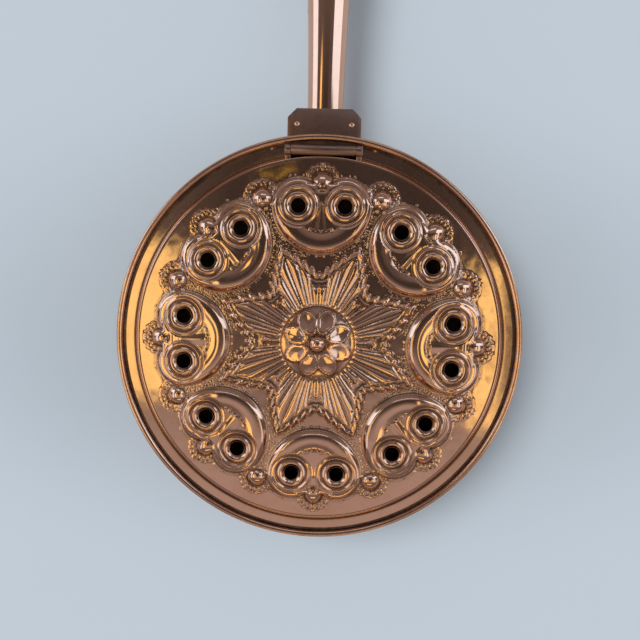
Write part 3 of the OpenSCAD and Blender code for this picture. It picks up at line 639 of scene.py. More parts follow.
def fanRelief(across, out, endTurn):
    # the scalloped fan with its row of pearls round a bead's outward side
    f = lidRelief
    q = np.hypot(across, out)
    turn = np.arctan2(np.abs(across), out)
    step = math.radians(f["fanStep"])
    fold = foldTurn(turn, step)
    shown = 1 - easeStep(turn, math.radians(endTurn - 6), math.radians(endTurn + 3))
    outline = f["fanOutline"] + np.cos(fold * math.pi / step) ** 0.6
    line = roundLine(q - outline, 0.7, 0.45)
    inner = roundLine(q - f["fanInner"], 0.6, 0.15)
    pearl = roundLine(np.hypot(q - f["fanPearls"], f["fanPearls"] * fold), 1.0, 0.4)
    return np.maximum(np.maximum(line, inner), pearl) * shown


def flowerRelief(x, y, turned):
    f = lidRelief
    r = np.hypot(x, y)
    turn = np.arctan2(x, y) - math.radians(turned)
    fold = foldTurn(turn, 2 * math.pi / f["petals"])
    # q runs from a petal's middle, 0, to its outline, 1
    u, v = r * np.cos(fold) - f["petalOut"], r * np.sin(fold)
    narrowing = np.where(u > 0, 1.0, 1.0 + 0.35 * np.clip(u / f["petalLength"], -1, 0))
    width = f["petalWidth"] * narrowing
    point = 0.10 * (np.clip(u, 0, 9) / 8.0) * np.abs(v) / 5.5
    q = np.hypot(u / f["petalLength"], v / width) + point
    body = f["petalRise"] * (1 - easeStep(q, 0.88, 1.08)) - f["petalDip"] * (1 - easeStep(q, 0.0, 0.86))
    lip = roundLine(q - 0.93, 0.08, 0.28) + roundLine(q - 0.70, 0.09, 0.12)
    petals = np.where(r > f["petalFrom"], body + lip, 0)
    pearlTurn = foldTurn(turn, 2 * math.pi / f["pearls"])
    pearl = dome(np.hypot(r - f["pearlRing"], f["pearlRing"] * pearlTurn), f["pearlRadius"], 0.1)
    groove = roundLine(r - f["heartGroove"], 0.7, 0.5)
    heart = f["heartRise"] + dome(r, f["heartRadius"], f["heartRadius"])
    return fuse(np.maximum(petals - groove, pearl), heart, 0.3)


def bareSheet(r):
    f = lidRelief
    z = f["fieldLevel"] + (f["marginLevel"] - f["fieldLevel"]) * easeStep(r, f["slopeIn"], f["slopeOut"])
    z = z + (f["bandLevel"] - f["marginLevel"]) * easeStep(r, f["marginOut"] - 0.1, f["bandIn"])
    return z + roundLine(r - f["marginOut"] + 0.35, 0.5, 0.12) - roundLine(r - f["bandIn"], 0.3, 0.12)


def lidHeight(x, y, turned=lidRelief["flowerTurn"], wavy=True):
    f = lidRelief
    x, y = np.asarray(x, float), np.asarray(y, float)
    r, off, a, b = foldSector(x, y)
    half = math.pi / f["sectors"]
    # the star gives way to the boss with its flower
    boss = f["bossRise"] * np.maximum(1 - (r / f["bossRadius"]) ** 2, 0) ** 1.3
    boss = boss + flowerRelief(x, y, turned) * easeStep(f["bossRadius"] - 0.2 - r, 0, 1.5)
    onBoss = r < f["bossRadius"]
    form = np.where(onBoss, f["starRise"], starRelief(r, off)) + np.where(onBoss, np.maximum(boss, 0), 0)
    form = form - roundLine(r - f["bossRadius"] - 0.5, 0.5, 0.35)
    # cartouches, then fans and beads on both kinds of axis
    cartouche, inside = cartoucheRelief(a, b)
    absent = -1.5  # low enough for fuse to leave it out
    cartouche = np.where((inside > -1.2) & (b > 50) & (r < 118), cartouche, absent)
    form = fuse(form, cartouche, 1.1)
    c, d = r * np.sin(half - off), r * np.cos(half - off)
    outside = easeStep(-inside, -0.8, 0.4)
    form = form + fanRelief(a, b - f["outerBead"], f["outerFanTurn"]) * outside
    form = form + fanRelief(c, d - f["gapBead"], f["gapFanTurn"]) * outside
    for across, out in f["smallBeads"]:
        small = dome(np.hypot(c - across, d - f["gapBead"] - out), f["smallBeadRadius"], 0.4)
        form = form + np.maximum(small, 0)
    bead = np.maximum(dome(np.hypot(a, b - f["outerBead"]), f["beadRadius"], f["beadSink"]),
        dome(np.hypot(c, d - f["gapBead"]), f["beadRadius"], f["beadSink"]))
    z = bareSheet(r) + fuse(form, bead, 0.5)
    if wavy:
        (slow, slowRise), (quick, quickRise) = f["slowWave"], f["quickWave"]
        z = z + slowRise * unevenness(x, y, slow, 1) * (r < 125)
        z = z + quickRise * unevenness(x, y, quick, 2) * (r < 122)
    return z


def heightsAround(x, y, reach, wavy):
    # the lid's height at eight points on a small circle
    return [lidHeight(x + reach * math.cos(k * math.pi / 4), y + reach * math.sin(k * math.pi / 4),
        wavy=wavy) for k in range(8)]


def lidMarks(x, y):
    # tarnish gathers in hollows, and the ground between star and cartouches is punched all over
    around = 0
    for reach in (0.9, 2.2):
        around = around + 0.5 * sum(heightsAround(x, y, reach, False)) / 8
    tarnish = np.clip((around - lidHeight(x, y, wavy=False) - 0.04) / 0.34, 0, 1)
    r, off, a, b = foldSector(x, y)
    wavyInside, fromTip = starInside(r, off)[1:]
    ground = easeStep(-wavyInside, 1.4, 2.4) * easeStep(-cartoucheInside(a, b), 0.2, 1.2)
    ground = ground * (1 - easeStep(r, 96, 103))
    return tarnish, ground * (1 - easeStep(fromTip, 0.45, 0.8))


# the lid's mesh: one wedge of the top and one of the underside, each mirrored and turned round

lidMesh = {
    # spacing of the points: allowed error, limits, on flat ground, on the flower, underneath
    "chord": 0.027, "finest": 0.50, "coarsest": 1.5, "ground": 0.82, "flower": 0.62, "under": 2.4,
    # pitch of the places tried, the radius where rings take over, and the closest two points
    "candidate": 0.42, "scatterEdge": 118.6, "closest": 0.86,
    # radii of the rings of points on margin and band, beside the notch, and round a vent
    "rings": (119.6, 121.4, 122.9, 123.7, 124.05, 124.4, 124.8, 125.2, 125.7, 126.2, 126.7, 127.1,
        127.5, 128.0, 129.4, 131.3, 133.0, 133.5),
    "coarseRings": (119.6, 122.9, 124.8, 127.8, 133.5),
    "notchRings": (124.8, 125.7, 127.1, 128.0, 129.4, 131.3, 133.0, 133.5),
    "ventRings": (5.0, 5.5, 6.1, 6.8, 7.5, 8.2, 8.9, 9.6, 10.3, 10.9, 11.5, 12.0, 12.6, 13.3, 14.1),
    "holeSides": 44, "ringSides": 40, "notchSides": 22, "tooThin": 2e-3,
}


def localSpacing(x, y):
    # small triangles only where the relief bends sharply
    m = lidMesh
    s = 0.45
    h = lambda dx, dy: lidHeight(x + dx, y + dy, turned=0, wavy=False)
    centre = h(0, 0)
    bend = np.maximum(np.abs(h(s, 0) + h(-s, 0) - 2 * centre), np.abs(h(0, s) + h(0, -s) - 2 * centre))
    skew = np.maximum(np.abs(h(s, s) + h(-s, -s) - 2 * centre), np.abs(h(s, -s) + h(-s, s) - 2 * centre))
    bend = np.maximum(bend, skew / 2) / s ** 2
    spacing = np.clip(np.sqrt(8 * m["chord"] / np.maximum(bend, 1e-4)), m["finest"], m["coarsest"])
    # the flat ground is kept fairly fine too, or the mirror shows teeth along every outline
    r = np.hypot(x, y)
    spacing = np.where(r < 110, np.minimum(spacing, m["ground"]), spacing)
    return np.where(r < 24.8, np.minimum(spacing, m["flower"]), spacing)


def evenSpacing(x, y):
    return np.full(np.shape(x), lidMesh["under"])


def outAt(radius, turn):
    return radius * math.sin(turn), radius * math.cos(turn)


def wedgeOutline(notched, spacingOf, coarse):
    # points that have to be there: the straight edges, the rings, the hinge's notch, the vent
    f, m = lidRelief, lidMesh
    half = math.pi / f["sectors"]
    rings = m["coarseRings"] if coarse else m["rings"]
    fixed = []
    for turn in (0.0, half):  # both straight edges are shared with the neighbours
        r, ray = 1.2, [(0.0, 0.0)]
        while r < m["scatterEdge"]:
            ray.append(outAt(r, turn))
            r += float(spacingOf(np.array([ray[-1][0]]), np.array([ray[-1][1]]))[0])
        last = f["notchIn"] if notched and turn == 0 else f["edge"]
        ray += [outAt(q, turn) for q in rings if q <= last]
        fixed += ray if turn == 0 else ray[1:]
    for q in rings:
        count = m["ringSides"] // 2 if coarse and q != f["edge"] else m["ringSides"]
        for k in range(1, count):
            across, out = outAt(q, half * k / count)
            if not (notched and q >= f["notchIn"] and across < f["notchHalfWidth"] + 0.35):
                fixed.append((across, out))
    if notched:
        side, count = f["notchHalfWidth"], m["notchSides"]
        corner = math.asin(side / f["notchIn"])
        fixed += [outAt(f["notchIn"], corner * k / count) for k in range(1, count)]
        fixed += [(side, math.sqrt(q * q - side * side)) for q in m["notchRings"]]
    for number, rho in enumerate(m["ventRings"][:1] if coarse else m["ventRings"]):
        count = round(2 * math.pi * rho / m["ground"]) if number else m["holeSides"]
        for k in range(count):
            turn = 2 * math.pi * (k + 0.37 * number) / count
            fixed.append((f["ventAcross"] + rho * math.cos(turn), f["ventOut"] + rho * math.sin(turn)))
    return np.array(fixed)


def scatterPoints(fixed, spacingOf, coarse):
    # the rest comes from a fine hexagonal grid, the places with the closest spacing first
    f, m = lidRelief, lidMesh
    half, limit = math.pi / f["sectors"], m["scatterEdge"]
    pitch = m["under"] * 0.9 if coarse else m["candidate"]
    rowShare = 0.866  # of the pitch, from one row to the next
    rows = np.arange(1, int(limit / (pitch * rowShare)) + 1)
    columns = np.arange(0, int(limit * math.sin(half) / pitch) + 1)
    gx, gy = np.meshgrid(columns, rows)
    gx, gy = ((gx + 0.5 * (gy % 2)) * pitch).ravel(), (gy * pitch * rowShare).ravel()
    r, off, spacing = np.hypot(gx, gy), np.arctan2(gx, gy), spacingOf(gx, gy)
    toEdge = np.minimum(r * np.sin(off), r * np.sin(half - off))
    toVent = np.hypot(gx - f["ventAcross"], gy - f["ventOut"])
    keep = (r < limit) & (off < half) & (toEdge > 0.35 * spacing) & (toVent > (5.3 if coarse else 14.4))
    gx, gy, spacing = gx[keep], gy[keep], spacing[keep]
    held = {}  # all points so far, by the square millimetre they lie in

    def place(px, py):
        held.setdefault((int(px // 1), int(py // 1)), []).append((px, py))
    for px, py in fixed.tolist():
        place(px, py)
    chosen = []
    for k in np.lexsort((gx, gy, np.round(spacing, 2))).tolist():
        px, py, gap = float(gx[k]), float(gy[k]), float(spacing[k]) * m["closest"]
        i, j, reach = int(px // 1), int(py // 1), int(gap) + 1
        near = (point for di in range(-reach, reach + 1) for dj in range(-reach, reach + 1)
            for point in held.get((i + di, j + dj), ()))
        if all((qx - px) ** 2 + (qy - py) ** 2 >= gap * gap for qx, qy in near):
            place(px, py)
            chosen.append((px, py))
    return np.array(chosen)


def wedgeMesh(notched, spacingOf, coarse):
    f = lidRelief
    fixed = wedgeOutline(notched, spacingOf, coarse)
    points = np.vstack([fixed, scatterPoints(fixed, spacingOf, coarse)])
    result = delaunay_2d_cdt([Vector(point) for point in points.tolist()], [], [], 0, 1e-7)
    points, faces = np.array([tuple(point) for point in result[0]]), np.array(result[2])
    for turn in (0.0, math.pi / f["sectors"]):  # set exactly on the edges, or neighbours don't weld
        onEdge = np.abs(points[:, 0] * math.cos(turn) - points[:, 1] * math.sin(turn)) < 1e-3
        length = np.round(np.hypot(points[onEdge, 0], points[onEdge, 1]), 4)
        points[onEdge] = np.column_stack([length * math.sin(turn), length * math.cos(turn)])
    corners = points[faces]
    across, out = corners.mean(axis=1).T
    keep = np.hypot(across - f["ventAcross"], out - f["ventOut"]) > f["dish"][0][0] - 0.03
    if notched:
        keep &= (across >= f["notchHalfWidth"]) | (np.hypot(across, out) <= f["notchIn"])
    first, second = corners[:, 1] - corners[:, 0], corners[:, 2] - corners[:, 0]
    area = first[:, 0] * second[:, 1] - first[:, 1] * second[:, 0]
    faces[area < 0] = faces[area < 0][:, ::-1]
    return points, faces[keep & (np.abs(area) > lidMesh["tooThin"])]


def wholeRound(plain, notched):
    # mirrored and turned copies of the wedge make the full round, and shared points are welded
    allPoints, allFaces, offset = [], [], 0
    for k in range(lidRelief["sectors"]):
        turn = 2 * math.pi * k / lidRelief["sectors"]
        points, faces = notched if k == 0 else plain
        for flip in (1, -1):
            px, py = points[:, 0] * flip, points[:, 1]
            allPoints.append(np.column_stack([px * math.cos(turn) + py * math.sin(turn),
                py * math.cos(turn) - px * math.sin(turn)]))
            allFaces.append(faces[:, ::flip] + offset)
            offset += len(points)
    stacked = np.vstack(allPoints)
    rounded = np.round(stacked, 4) + 0.0  # turns -0.0 to 0.0
    first, weld = np.unique(rounded, axis=0, return_index=True, return_inverse=True)[1:]
    return stacked[first], weld.ravel()[np.vstack(allFaces)]


def openEdges(faces):
    edges = np.vstack([faces[:, [0, 1]], faces[:, [1, 2]], faces[:, [2, 0]]])
    index, count = np.unique(np.sort(edges, axis=1), axis=0, return_index=True, return_counts=True)[1:]
    return edges[index[count == 1]]


def topsideHeight(x, y):
    # pressed sheet, its outer edge broken with a file
    radius = np.hypot(x, y)
    edge = lidRelief["edge"]
    broken = 0.2 * (radius > edge - 0.01) + 0.03 * (np.abs(radius - edge + 0.5) < 0.01)
    return lidHeight(x, y) - broken


def undersideHeight(x, y):
    # one gauge below the lowest point nearby, and never below the flat band's underside
    f = lidRelief
    z = lidHeight(x, y)
    for reach in (0.7, 1.4):
        for height in heightsAround(x, y, reach, True):
            z = np.minimum(z, height)
    band = f["bandLevel"] - f["gauge"]
    return np.where(np.hypot(x, y) > 128.5, band, np.maximum(z - f["gauge"], band))


def cutWalls(top, topFaces, low):
    # faces between the open edges of both sheets, whose points lie at the same places
    key = lambda point: (round(point[0], 3), round(point[1], 3))
    below = {key(point): k + len(top) for k, point in enumerate(low.tolist())}
    walls, missing = [], 0
    for i, j in openEdges(topFaces).tolist():
        a, b = (below.get(key(top[k].tolist())) for k in (i, j))
        if a is None or b is None:
            missing += 1
        else:
            walls += [(j, i, a), (j, a, b)]
    print("lid: open edges without a partner below:", missing)
    return np.array(walls)


def shadeLid(mesh, top, topFaces, cutEdges):
    # the formula's own slope shades the relief, and the cut edges stay crisp
    x, y, step = top[:, 0], top[:, 1], 0.16
    dx = (lidHeight(x + step, y) - lidHeight(x - step, y)) / (2 * step)
    dy = (lidHeight(x, y + step) - lidHeight(x, y - step)) / (2 * step)
    normals = np.column_stack([-dx, -dy, np.ones(len(top))])
    normals /= np.linalg.norm(normals, axis=1)[:, None]
    loops = np.zeros((len(mesh.loops), 3))
    loops[:len(topFaces) * 3] = normals[topFaces.ravel()]
    ends = np.zeros(len(mesh.edges) * 2, int)
    mesh.edges.foreach_get("vertices", ends)
    cut = {tuple(sorted(edge)) for edge in cutEdges.tolist()}
    sharp = np.array([tuple(edge) in cut for edge in np.sort(ends.reshape(-1, 2), axis=1).tolist()])
    mesh.attributes.new("sharp_edge", "BOOLEAN", "EDGE").data.foreach_set("value", sharp)
    mesh.normals_split_custom_set(loops.tolist())


def makeLid():
    top, topFaces = wholeRound(*(wedgeMesh(notched, localSpacing, False) for notched in (False, True)))
    low, lowFaces = wholeRound(*(wedgeMesh(notched, evenSpacing, True) for notched in (False, True)))
    vertices = np.vstack([np.column_stack([top, topsideHeight(*top.T)]),
        np.column_stack([low, undersideHeight(*low.T)])]) * mm
    faces = np.vstack([topFaces, lowFaces[:, ::-1] + len(top), cutWalls(top, topFaces, low)])
    mesh = bpy.data.meshes.new("lidShell")
    mesh.from_pydata(vertices.tolist(), [], faces.tolist())
    mesh.polygons.foreach_set("use_smooth", np.ones(len(faces), bool))
    for name, values, underneath in zip(("tarnish", "stipple"), lidMarks(*top.T), (0.45, 0)):
        full = np.full(len(vertices), underneath, np.float32)
        full[:len(top)] = values
        mesh.attributes.new(name, "FLOAT", "POINT").data.foreach_set("value", full)
    shadeLid(mesh, top, topFaces, np.vstack([openEdges(topFaces), openEdges(lowFaces) + len(top)]))
    print("lid:", len(vertices), "points,", len(faces), "triangles")
    piece = bpy.data.objects.new("lidShell", mesh)
    bpy.context.collection.objects.link(piece)
    return piece


finishPiece(makeLid(), "lidShell", "lid", polishedCopper, ["lid_shell"], angle=None)
print("lid ready")


# the bowl: one spun sheet, turned out to a seat and rolled over a wire, hollow side blackened by embers

bowl = {"wall": 129.8, "gauge": 0.9, "corner": 32.0, "seat": 58.0, "seatOut": 133.5,
    "rollCentre": 137.85, "rollLevel": 59.25, "rollRadius": 2.15, "rollBore": 1.25, "sides": 256,
    "edgeRound": 0.5, "floorRings": (4, 30, 60, 85), "wallRings": (40.0, 48.0, 54.0),
    # room for the hinge's knuckles, and a pocket for the pin's end on either side
    "roomLow": (-26.15, 121.5, 55.5), "roomHigh": (26.15, 133.0, 63.7), "pocketDepth": 9.39,
    "pocketRadii": (2.972, 2.0), "hingeOut": 128.9, "hingeUp": 59.6}


def arcPoints(centreOut, centreUp, radius, start, end, count):
    # points of a half section, angles from outward towards up
    points = []
    for k in range(count + 1):
        turn = math.radians(start + (end - start) * k / count)
        points.append((centreUp + radius * math.sin(turn), centreOut + radius * math.cos(turn)))
    return points


def cutAway(piece, cutters):
    for cutter in cutters:
        applyModifier(piece, "BOOLEAN", operation="DIFFERENCE", object=cutter, solver="EXACT")
    for cutter in cutters:
        bpy.data.objects.remove(cutter)


def boxBetween(low, high):
    clearSelection()
    size = [(b - a) * mm for a, b in zip(low, high)]
    middle = [(a + b) / 2 * mm for a, b in zip(low, high)]
    bpy.ops.mesh.primitive_cube_add(size=1, location=middle, scale=size)
    bpy.ops.object.transform_apply(location=True, rotation=True, scale=True)
    return bpy.context.object


def makeBowl():
    b = bowl
    outer, inner = b["wall"], b["wall"] - b["gauge"]
    flat = outer - b["corner"]
    under = b["seat"] - b["gauge"]
    out, up = b["rollCentre"], b["rollLevel"]
    roundOut = arcPoints(outer + b["edgeRound"], under - b["edgeRound"], b["edgeRound"], 180, 90, 4)
    roundIn = arcPoints(inner + b["edgeRound"], b["seat"] - b["edgeRound"], b["edgeRound"], 90, 180, 4)
    section = [(0.0, radius) for radius in b["floorRings"]]
    section += arcPoints(flat, b["corner"], b["corner"], -90, 0, 14)
    section += [(level, outer) for level in b["wallRings"]] + [(under - b["edgeRound"], outer)]
    section += roundOut[1:]
    section += [(under, 133.0)] + arcPoints(out, up, b["rollRadius"], -90, -70, 3)
    section += arcPoints(out, up, b["rollBore"], -70, -415, 24)
    section += arcPoints(out, up, b["rollRadius"], -55, 215.5, 24)
    section += [(b["seat"], b["seatOut"]), (b["seat"], inner + b["edgeRound"])] + roundIn[1:]
    section += [(50.0, inner), (42.0, inner)]
    section += arcPoints(flat, b["corner"], b["corner"] - b["gauge"], 0, -90, 14)
    section += [(b["gauge"], radius) for radius in b["floorRings"][::-1]]
    piece = turnRings(section, (0, 0, 0), (0, 0, 1), b["sides"])
    clearSelection()
    rooms = [boxBetween(b["roomLow"], b["roomHigh"])]
    wide, narrow = b["pocketRadii"]
    across = b["roomHigh"][0] + b["pocketDepth"] / 2
    for side in (-1, 1):
        bpy.ops.mesh.primitive_cone_add(vertices=48, radius1=wide * mm, radius2=narrow * mm,
            depth=b["pocketDepth"] * mm, rotation=(0, side * math.pi / 2, 0),
            location=(side * across * mm, b["hingeOut"] * mm, b["hingeUp"] * mm))
        rooms.append(bpy.context.object)
    cutAway(piece, rooms)
    piece.data.materials.clear()
    piece.data.materials.append(spunCopper)
    piece.data.materials.append(sootAndShadeCopper)
    # soot on the faces that look into the bowl, and painted shade in the groove that the lid's edge lies
    # in
    for face in piece.data.polygons:
        centre, normal = face.center / mm, face.normal
        reach, up = math.hypot(centre.x, centre.y), centre.z - b["seat"]
        toAxis = normal.x * centre.x + normal.y * centre.y < -0.2 * reach
        inside = reach < inner + 0.05 and up < -0.1 and centre.z > 0.6
        # painted shade: the groove between the lid's edge and the roll gets the soot colour
        groove = inner < reach < b["rollCentre"] - 1.5 and -0.1 < up < 0.75
        sootedOrShaded = (inside and (toAxis or normal.z > 0.3)) or (groove and normal.z > -0.5)
        face.material_index = 1 if sootedOrShaded else 0
    return piece


finishPiece(makeBowl(), "panBowl", "pan", None, ["pan_bowl"])
print("bowl ready")


# hinge: a plate whose tongue is rolled round the pin, held by two rivets

hinge = {"width": 49.5, "tongue": 43.2, "gauge": 1.2, "level": 55.9, "wideFrom": 133.0, "end": 157.0,
    "corner": 6.0, "axisOut": 128.9, "axisUp": 59.6, "rolled": 304, "rollSteps": 30, "edgeRound": 0.18,
    "rivetApart": 18.35, "rivetOut": 146.7, "rivetFrom": 54.3, "rivetTo": 57.1, "headRadius": 1.95,
    "headRise": 1.1, "shank": 1.25}


def makePlate():
    h = hinge
    half = h["width"] / 2
    piece = boxBetween((-half, h["wideFrom"], h["level"]), (half, h["end"], h["level"] + h["gauge"]))
    startEditing(piece)
    pickEdges(piece, lambda a, b: abs(a.z - b.z) > 0.5 * mm and a.y > (h["end"] - 1) * mm)
    bpy.ops.mesh.bevel(offset=h["corner"] * mm, segments=1)
    for side in (-1, 1):
        bpy.ops.mesh.select_all(action="SELECT")
        bpy.ops.mesh.bisect(plane_co=(side * h["tongue"] / 2 * mm, 0, 0), plane_no=(1, 0, 0))
    pickFaces(piece, lambda centre, normal: normal.y < -0.9 and abs(centre.x) < 5 * mm)
    bpy.ops.mesh.extrude_region_move(
        TRANSFORM_OT_translate={"value": (0, (h["axisOut"] - h["wideFrom"]) * mm, 0)})
    bpy.ops.mesh.spin(steps=h["rollSteps"], angle=math.radians(h["rolled"]),
        center=(0, h["axisOut"] * mm, h["axisUp"] * mm), axis=(1, 0, 0))
    stopEditing()
    tidyMesh(piece, 0.005)
    breakEdges(piece, h["edgeRound"])
    return piece


def makeRivet(shank, headRadius, headRise, bottom, top):
    # along +Z: a domed head, the shank, and the domed head closed underneath
    ball = (headRadius ** 2 + headRise ** 2) / (2 * headRise)

    def domed(level, sign):
        rings = []
        for k in range(7):
            radius = headRadius * math.cos(math.radians(13 * k))
            rise = headRise - ball + math.sqrt(ball ** 2 - radius ** 2)
            rings.append((level + sign * rise, radius))
        return rings
    rings = domed(bottom, -1)[::-1] + [(bottom, shank), (top, shank)] + domed(top, 1)
    return turnRings(rings, (0, 0, 0), (0, 0, 1), 28)


finishPiece(makePlate(), "hingePlate", "pan", satinCopper, ["hinge_plate"], angle=25)
first = makeRivet(hinge["shank"], hinge["headRadius"], hinge["headRise"], hinge["rivetFrom"],
    hinge["rivetTo"])
for number, side in ((1, -1), (2, 1)):
    rivet = copyOf(first)
    rivet.location += Vector((side * hinge["rivetApart"], hinge["rivetOut"], 0)) * mm
    finishPiece(rivet, "plateRivet%d" % number, "pan", brightCopper, ["plate_rivets"], 50)
bpy.data.objects.remove(first)
print("hinge ready")


# handle: a flared copper ferrule, the turned and waxed grip, and its copper cap

handle = {"start": 131.4, "level": 41.85, "front": 12.2, "back": 17.0, "ferrule": 150.0, "gauge": 1.0,
    "roll": 1.6, "sides": 96, "shoulder": 151.6, "beadRadius": 4.0, "neck": 169.6, "neckRadius": 11.5,
    "neckRing": 2.4, "gripRadius": 15.5, "gripEnd": 768.0, "gripSteps": 60, "fit": 0.02,
    "beadCentre": 13.6, "lastBeadCentre": 11.5, "hollowFrom": (160.2, 14.35), "hollowLength": 7.0,
    "hollowDepth": 1.5, "hollowFall": 0.55, "stations": (30, 60, 90, 115, 135, 149.5),
    "tenonEnd": 799.0, "tenonRadius": 12.0, "capFrom": 780.0, "capEnd": 800.0, "capRadius": 13.0,
    "capEdge": 1.2, "capLines": (2.6, 4.0), "capLineDepth": 0.18, "eyeHole": 1.8}


def ferruleRadius(s):
    return handle["front"] + (handle["back"] - handle["front"]) * (s / handle["ferrule"]) ** 2


def alongHandle(rings, sides=None, fillStart=True, fillEnd=True):
    return turnRings(rings, (0, handle["start"] * mm, handle["level"] * mm), (0, 1, 0),
        sides or handle["sides"], fillStart, fillEnd)


def turnedBead(centre, level, radius, start, end, count):
    # the outward side of a round, from the angle start down to end
    turns = [math.radians(start + (end - start) * k / count) for k in range(count + 1)]
    return [(centre - radius * math.cos(turn), level + radius * math.sin(turn)) for turn in turns]


def makeFerrule():
    h = handle
    stations = [h["ferrule"] * k / 36 for k in range(37)]
    rings = [(0.25, h["front"] - h["gauge"]), (0.0, h["front"] - 0.75), (0.0, h["front"] - 0.25),
        (0.25, ferruleRadius(0.25))]
    rings += [(s, ferruleRadius(s)) for s in stations[1:-1]]
    middle = h["back"] - h["gauge"]
    for k in range(11):
        turn = math.radians(-35 + 125 * k / 10)
        rings.append((h["ferrule"] + h["roll"] * math.sin(turn), middle + h["roll"] * math.cos(turn)))
    rings.append((h["ferrule"] + h["roll"], middle - 0.05))
    rings += [(s, ferruleRadius(s) - h["gauge"]) for s in stations[::-4]]
    rings[-1] = rings[0]
    return alongHandle(rings, fillStart=False, fillEnd=False)


def woodProfile():
    h = handle
    skin = h["gauge"] + h["fit"]  # the wood fills the ferrule with a little play
    rings = [(0.3, h["front"] - skin)] + [(s, ferruleRadius(s) - skin) for s in h["stations"]]
    rings += [(h["shoulder"], h["back"] - skin), (h["shoulder"] + 0.02, 14.9),
        (h["shoulder"] + 0.3, 15.4)]
    rings += turnedBead(h["shoulder"] + h["beadRadius"], h["beadCentre"], h["beadRadius"], 148, 20, 12)
    # a scooped hollow runs down to the thin ring at the neck
    start, radius = h["hollowFrom"]
    for k in range(1, 7):
        part = k / 7
        drop = h["hollowDepth"] * math.sin(part * math.pi / 2) + h["hollowFall"] * part
        rings.append((start + h["hollowLength"] * part, radius - drop))
    rings += turnedBead(h["neck"], h["neckRadius"], h["neckRing"], 160, 20, 8)
    swell = h["gripRadius"] - h["neckRadius"]
    for k in range(2, h["gripSteps"]):
        u = k / h["gripSteps"]
        s = h["neck"] + (h["gripEnd"] - h["neck"]) * u
        if h["neck"] + 3 < s < h["gripEnd"] - 1:
            rings.append((s, h["neckRadius"] + swell * math.sin(math.pi * u ** 1.35) ** 2 + 0.08))
    rings += turnedBead(h["gripEnd"] + h["beadRadius"], h["lastBeadCentre"], h["beadRadius"],
        168, 30, 12)
    rings += [(776.3, h["capRadius"]), (h["capFrom"] - 0.4, h["capRadius"]),
        (h["capFrom"] - 0.05, h["capRadius"] - 0.2)]
    return rings + [(s, h["tenonRadius"]) for s in (h["capFrom"], h["tenonEnd"])]


def makeCap():
    h = handle
    skin, edge = h["capRadius"], h["capEdge"]
    mouth, bore, hole = h["capFrom"], skin - h["gauge"] + 0.01, h["eyeHole"] + 0.05
    rings = [(mouth + 0.05, bore), (mouth + 0.05, skin - 0.3), (mouth + 0.3, skin), (mouth + 2.2, skin)]
    for line in h["capLines"]:  # two fine turned lines near the mouth
        rings += [(mouth + line, skin), (mouth + line + 0.25, skin - h["capLineDepth"]),
            (mouth + line + 0.5, skin)]
    rings.append((h["capEnd"] - edge - 4, skin))
    for k in range(7):
        turn = math.radians(15 * k)
        rings.append((h["capEnd"] - edge + edge * math.sin(turn), skin - edge + edge * math.cos(turn)))
    rings += [(h["capEnd"], 7.0), (h["capEnd"], h["eyeHole"] + 0.4), (h["capEnd"] - 0.2, hole),
        (h["capEnd"] - h["gauge"], hole), (h["capEnd"] - h["gauge"], bore), rings[0]]
    return alongHandle(rings, fillStart=False, fillEnd=False)


finishPiece(makeFerrule(), "flaredFerrule", "pan", turnedCopper, ["ferrule"], angle=40)
finishPiece(alongHandle(woodProfile()), "handleShaft", "pan", waxedWood, ["handle_shaft"],
    angle=40)
finishPiece(makeCap(), "endCap", "pan", turnedCopper, ["end_cap"], angle=40)
print("handle ready")


# the eye at the end, and the ring that hangs in it

hanger = {"eyeOut": 940.0, "eyeRadius": 5.6, "eyeWire": 1.8, "stemFrom": 770.0, "stemTo": 804.8,
    "ringLevel": 24.95, "ringRadius": 15.0, "ringWire": 1.7, "jointTurn": 35.0, "jointReach": 1.9,
    "jointWaist": 0.93}


def makeEye():
    g = hanger
    clearSelection()
    bpy.ops.mesh.primitive_torus_add(major_radius=g["eyeRadius"] * mm, minor_radius=g["eyeWire"] * mm,
        major_segments=56, minor_segments=24, rotation=(0, math.pi / 2, 0),
        location=(0, g["eyeOut"] * mm, handle["level"] * mm))
    eye = bpy.context.object
    rings = [(s, g["eyeWire"] - 0.02) for s in (g["stemFrom"], 797.0, 800.2, g["stemTo"] - 1.5)]
    stem = alongHandle(rings + [(g["stemTo"], g["eyeWire"] * 0.8)], 24)
    applyModifier(eye, "BOOLEAN", operation="UNION", object=stem, solver="EXACT")
    bpy.data.objects.remove(stem)
    return eye


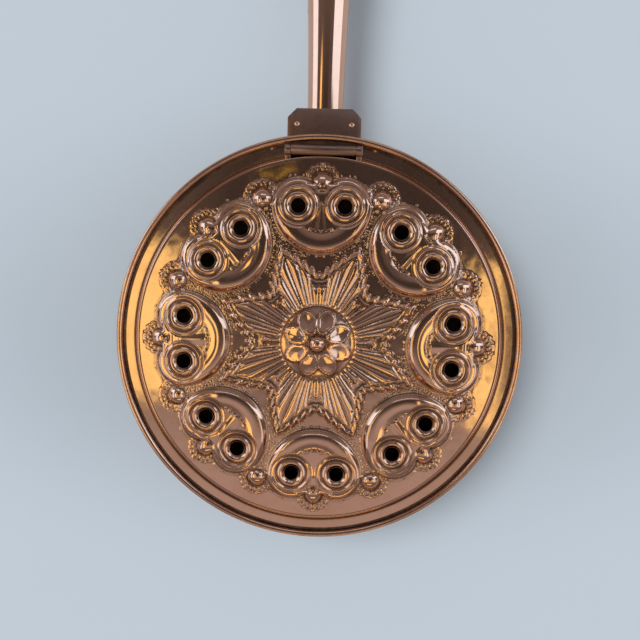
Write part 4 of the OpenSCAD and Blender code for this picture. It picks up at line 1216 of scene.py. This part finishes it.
def makeRing():
    g = hanger
    clearSelection()
    bpy.ops.mesh.primitive_torus_add(major_radius=g["ringRadius"] * mm, minor_radius=g["ringWire"] * mm,
        major_segments=120, minor_segments=24, rotation=(math.pi / 2, 0, 0),
        location=(0, g["eyeOut"] * mm, g["ringLevel"] * mm))
    ring = bpy.context.object
    bpy.ops.object.transform_apply(location=True, rotation=True, scale=True)
    # the wire's two ends are brazed: a slight waist marks where they meet
    turn = math.radians(g["jointTurn"])
    meet = Vector((math.sin(turn), 0, math.cos(turn))) * g["ringRadius"] * mm
    meet += Vector((0, g["eyeOut"] * mm, g["ringLevel"] * mm))
    for vertex in ring.data.vertices:
        vertex.select = (vertex.co - meet).length < g["jointReach"] * mm
    bpy.ops.object.mode_set(mode="EDIT")
    bpy.ops.transform.resize(value=(g["jointWaist"],) * 3, center_override=tuple(meet))
    stopEditing()
    return ring


finishPiece(makeEye(), "hangingEye", "pan", brightCopper, ["hanging_eye"], angle=50)
finishPiece(makeRing(), "hangingRing", "ring", brightCopper, ["hanging_ring"], angle=60)
print("eye and ring ready")


# the small forged and riveted pieces keep their solids' shape, with edges broken as a file leaves them

def dressNode(node, name, body, material, edge):
    piece = copyOf(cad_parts[node])
    tidyMesh(piece, 0.002)
    startEditing(piece)
    bpy.ops.mesh.select_all(action="SELECT")
    bpy.ops.mesh.dissolve_limited(angle_limit=math.radians(0.6))
    stopEditing()
    if edge:
        breakEdges(piece, edge)
    finishPiece(piece, name, body, material, [node], 35)


for node, name, body, slot, material, edge in (
        ("lid_hinge_leaf", "lidLeaf", "lid", "satin_copper", satinCopper, 0.12),
        ("hinge_pin", "hingePin", "lid", "steel", dullSteel, 0.35),
        ("handle_bracket", "handleBracket", "pan", "steel", dullSteel, 0.25),
        ("wall_rivets", "wallRivets", "pan", "copper", brightCopper, 0),
        ("wall_roves", "wallRoves", "pan", "copper", satinCopper, 0.1),
        ("handle_tang", "handleTang", "pan", "steel", dullSteel, 0),
        ("tang_washer", "tangWasher", "pan", "steel", dullSteel, 0.12),
        ("tang_cross_pin", "tangCrossPin", "pan", "steel", dullSteel, 0.2),
        ("ferrule_nails", "ferruleNails", "pan", "copper", brightCopper, 0),
        ("cap_nails", "capNails", "pan", "copper", brightCopper, 0)):
    dressNode(node, name, body, material, edge)
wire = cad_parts["rim_wire"]
wire.data.materials.clear()
wire.data.materials.append(dullSteel)
print("small pieces ready")
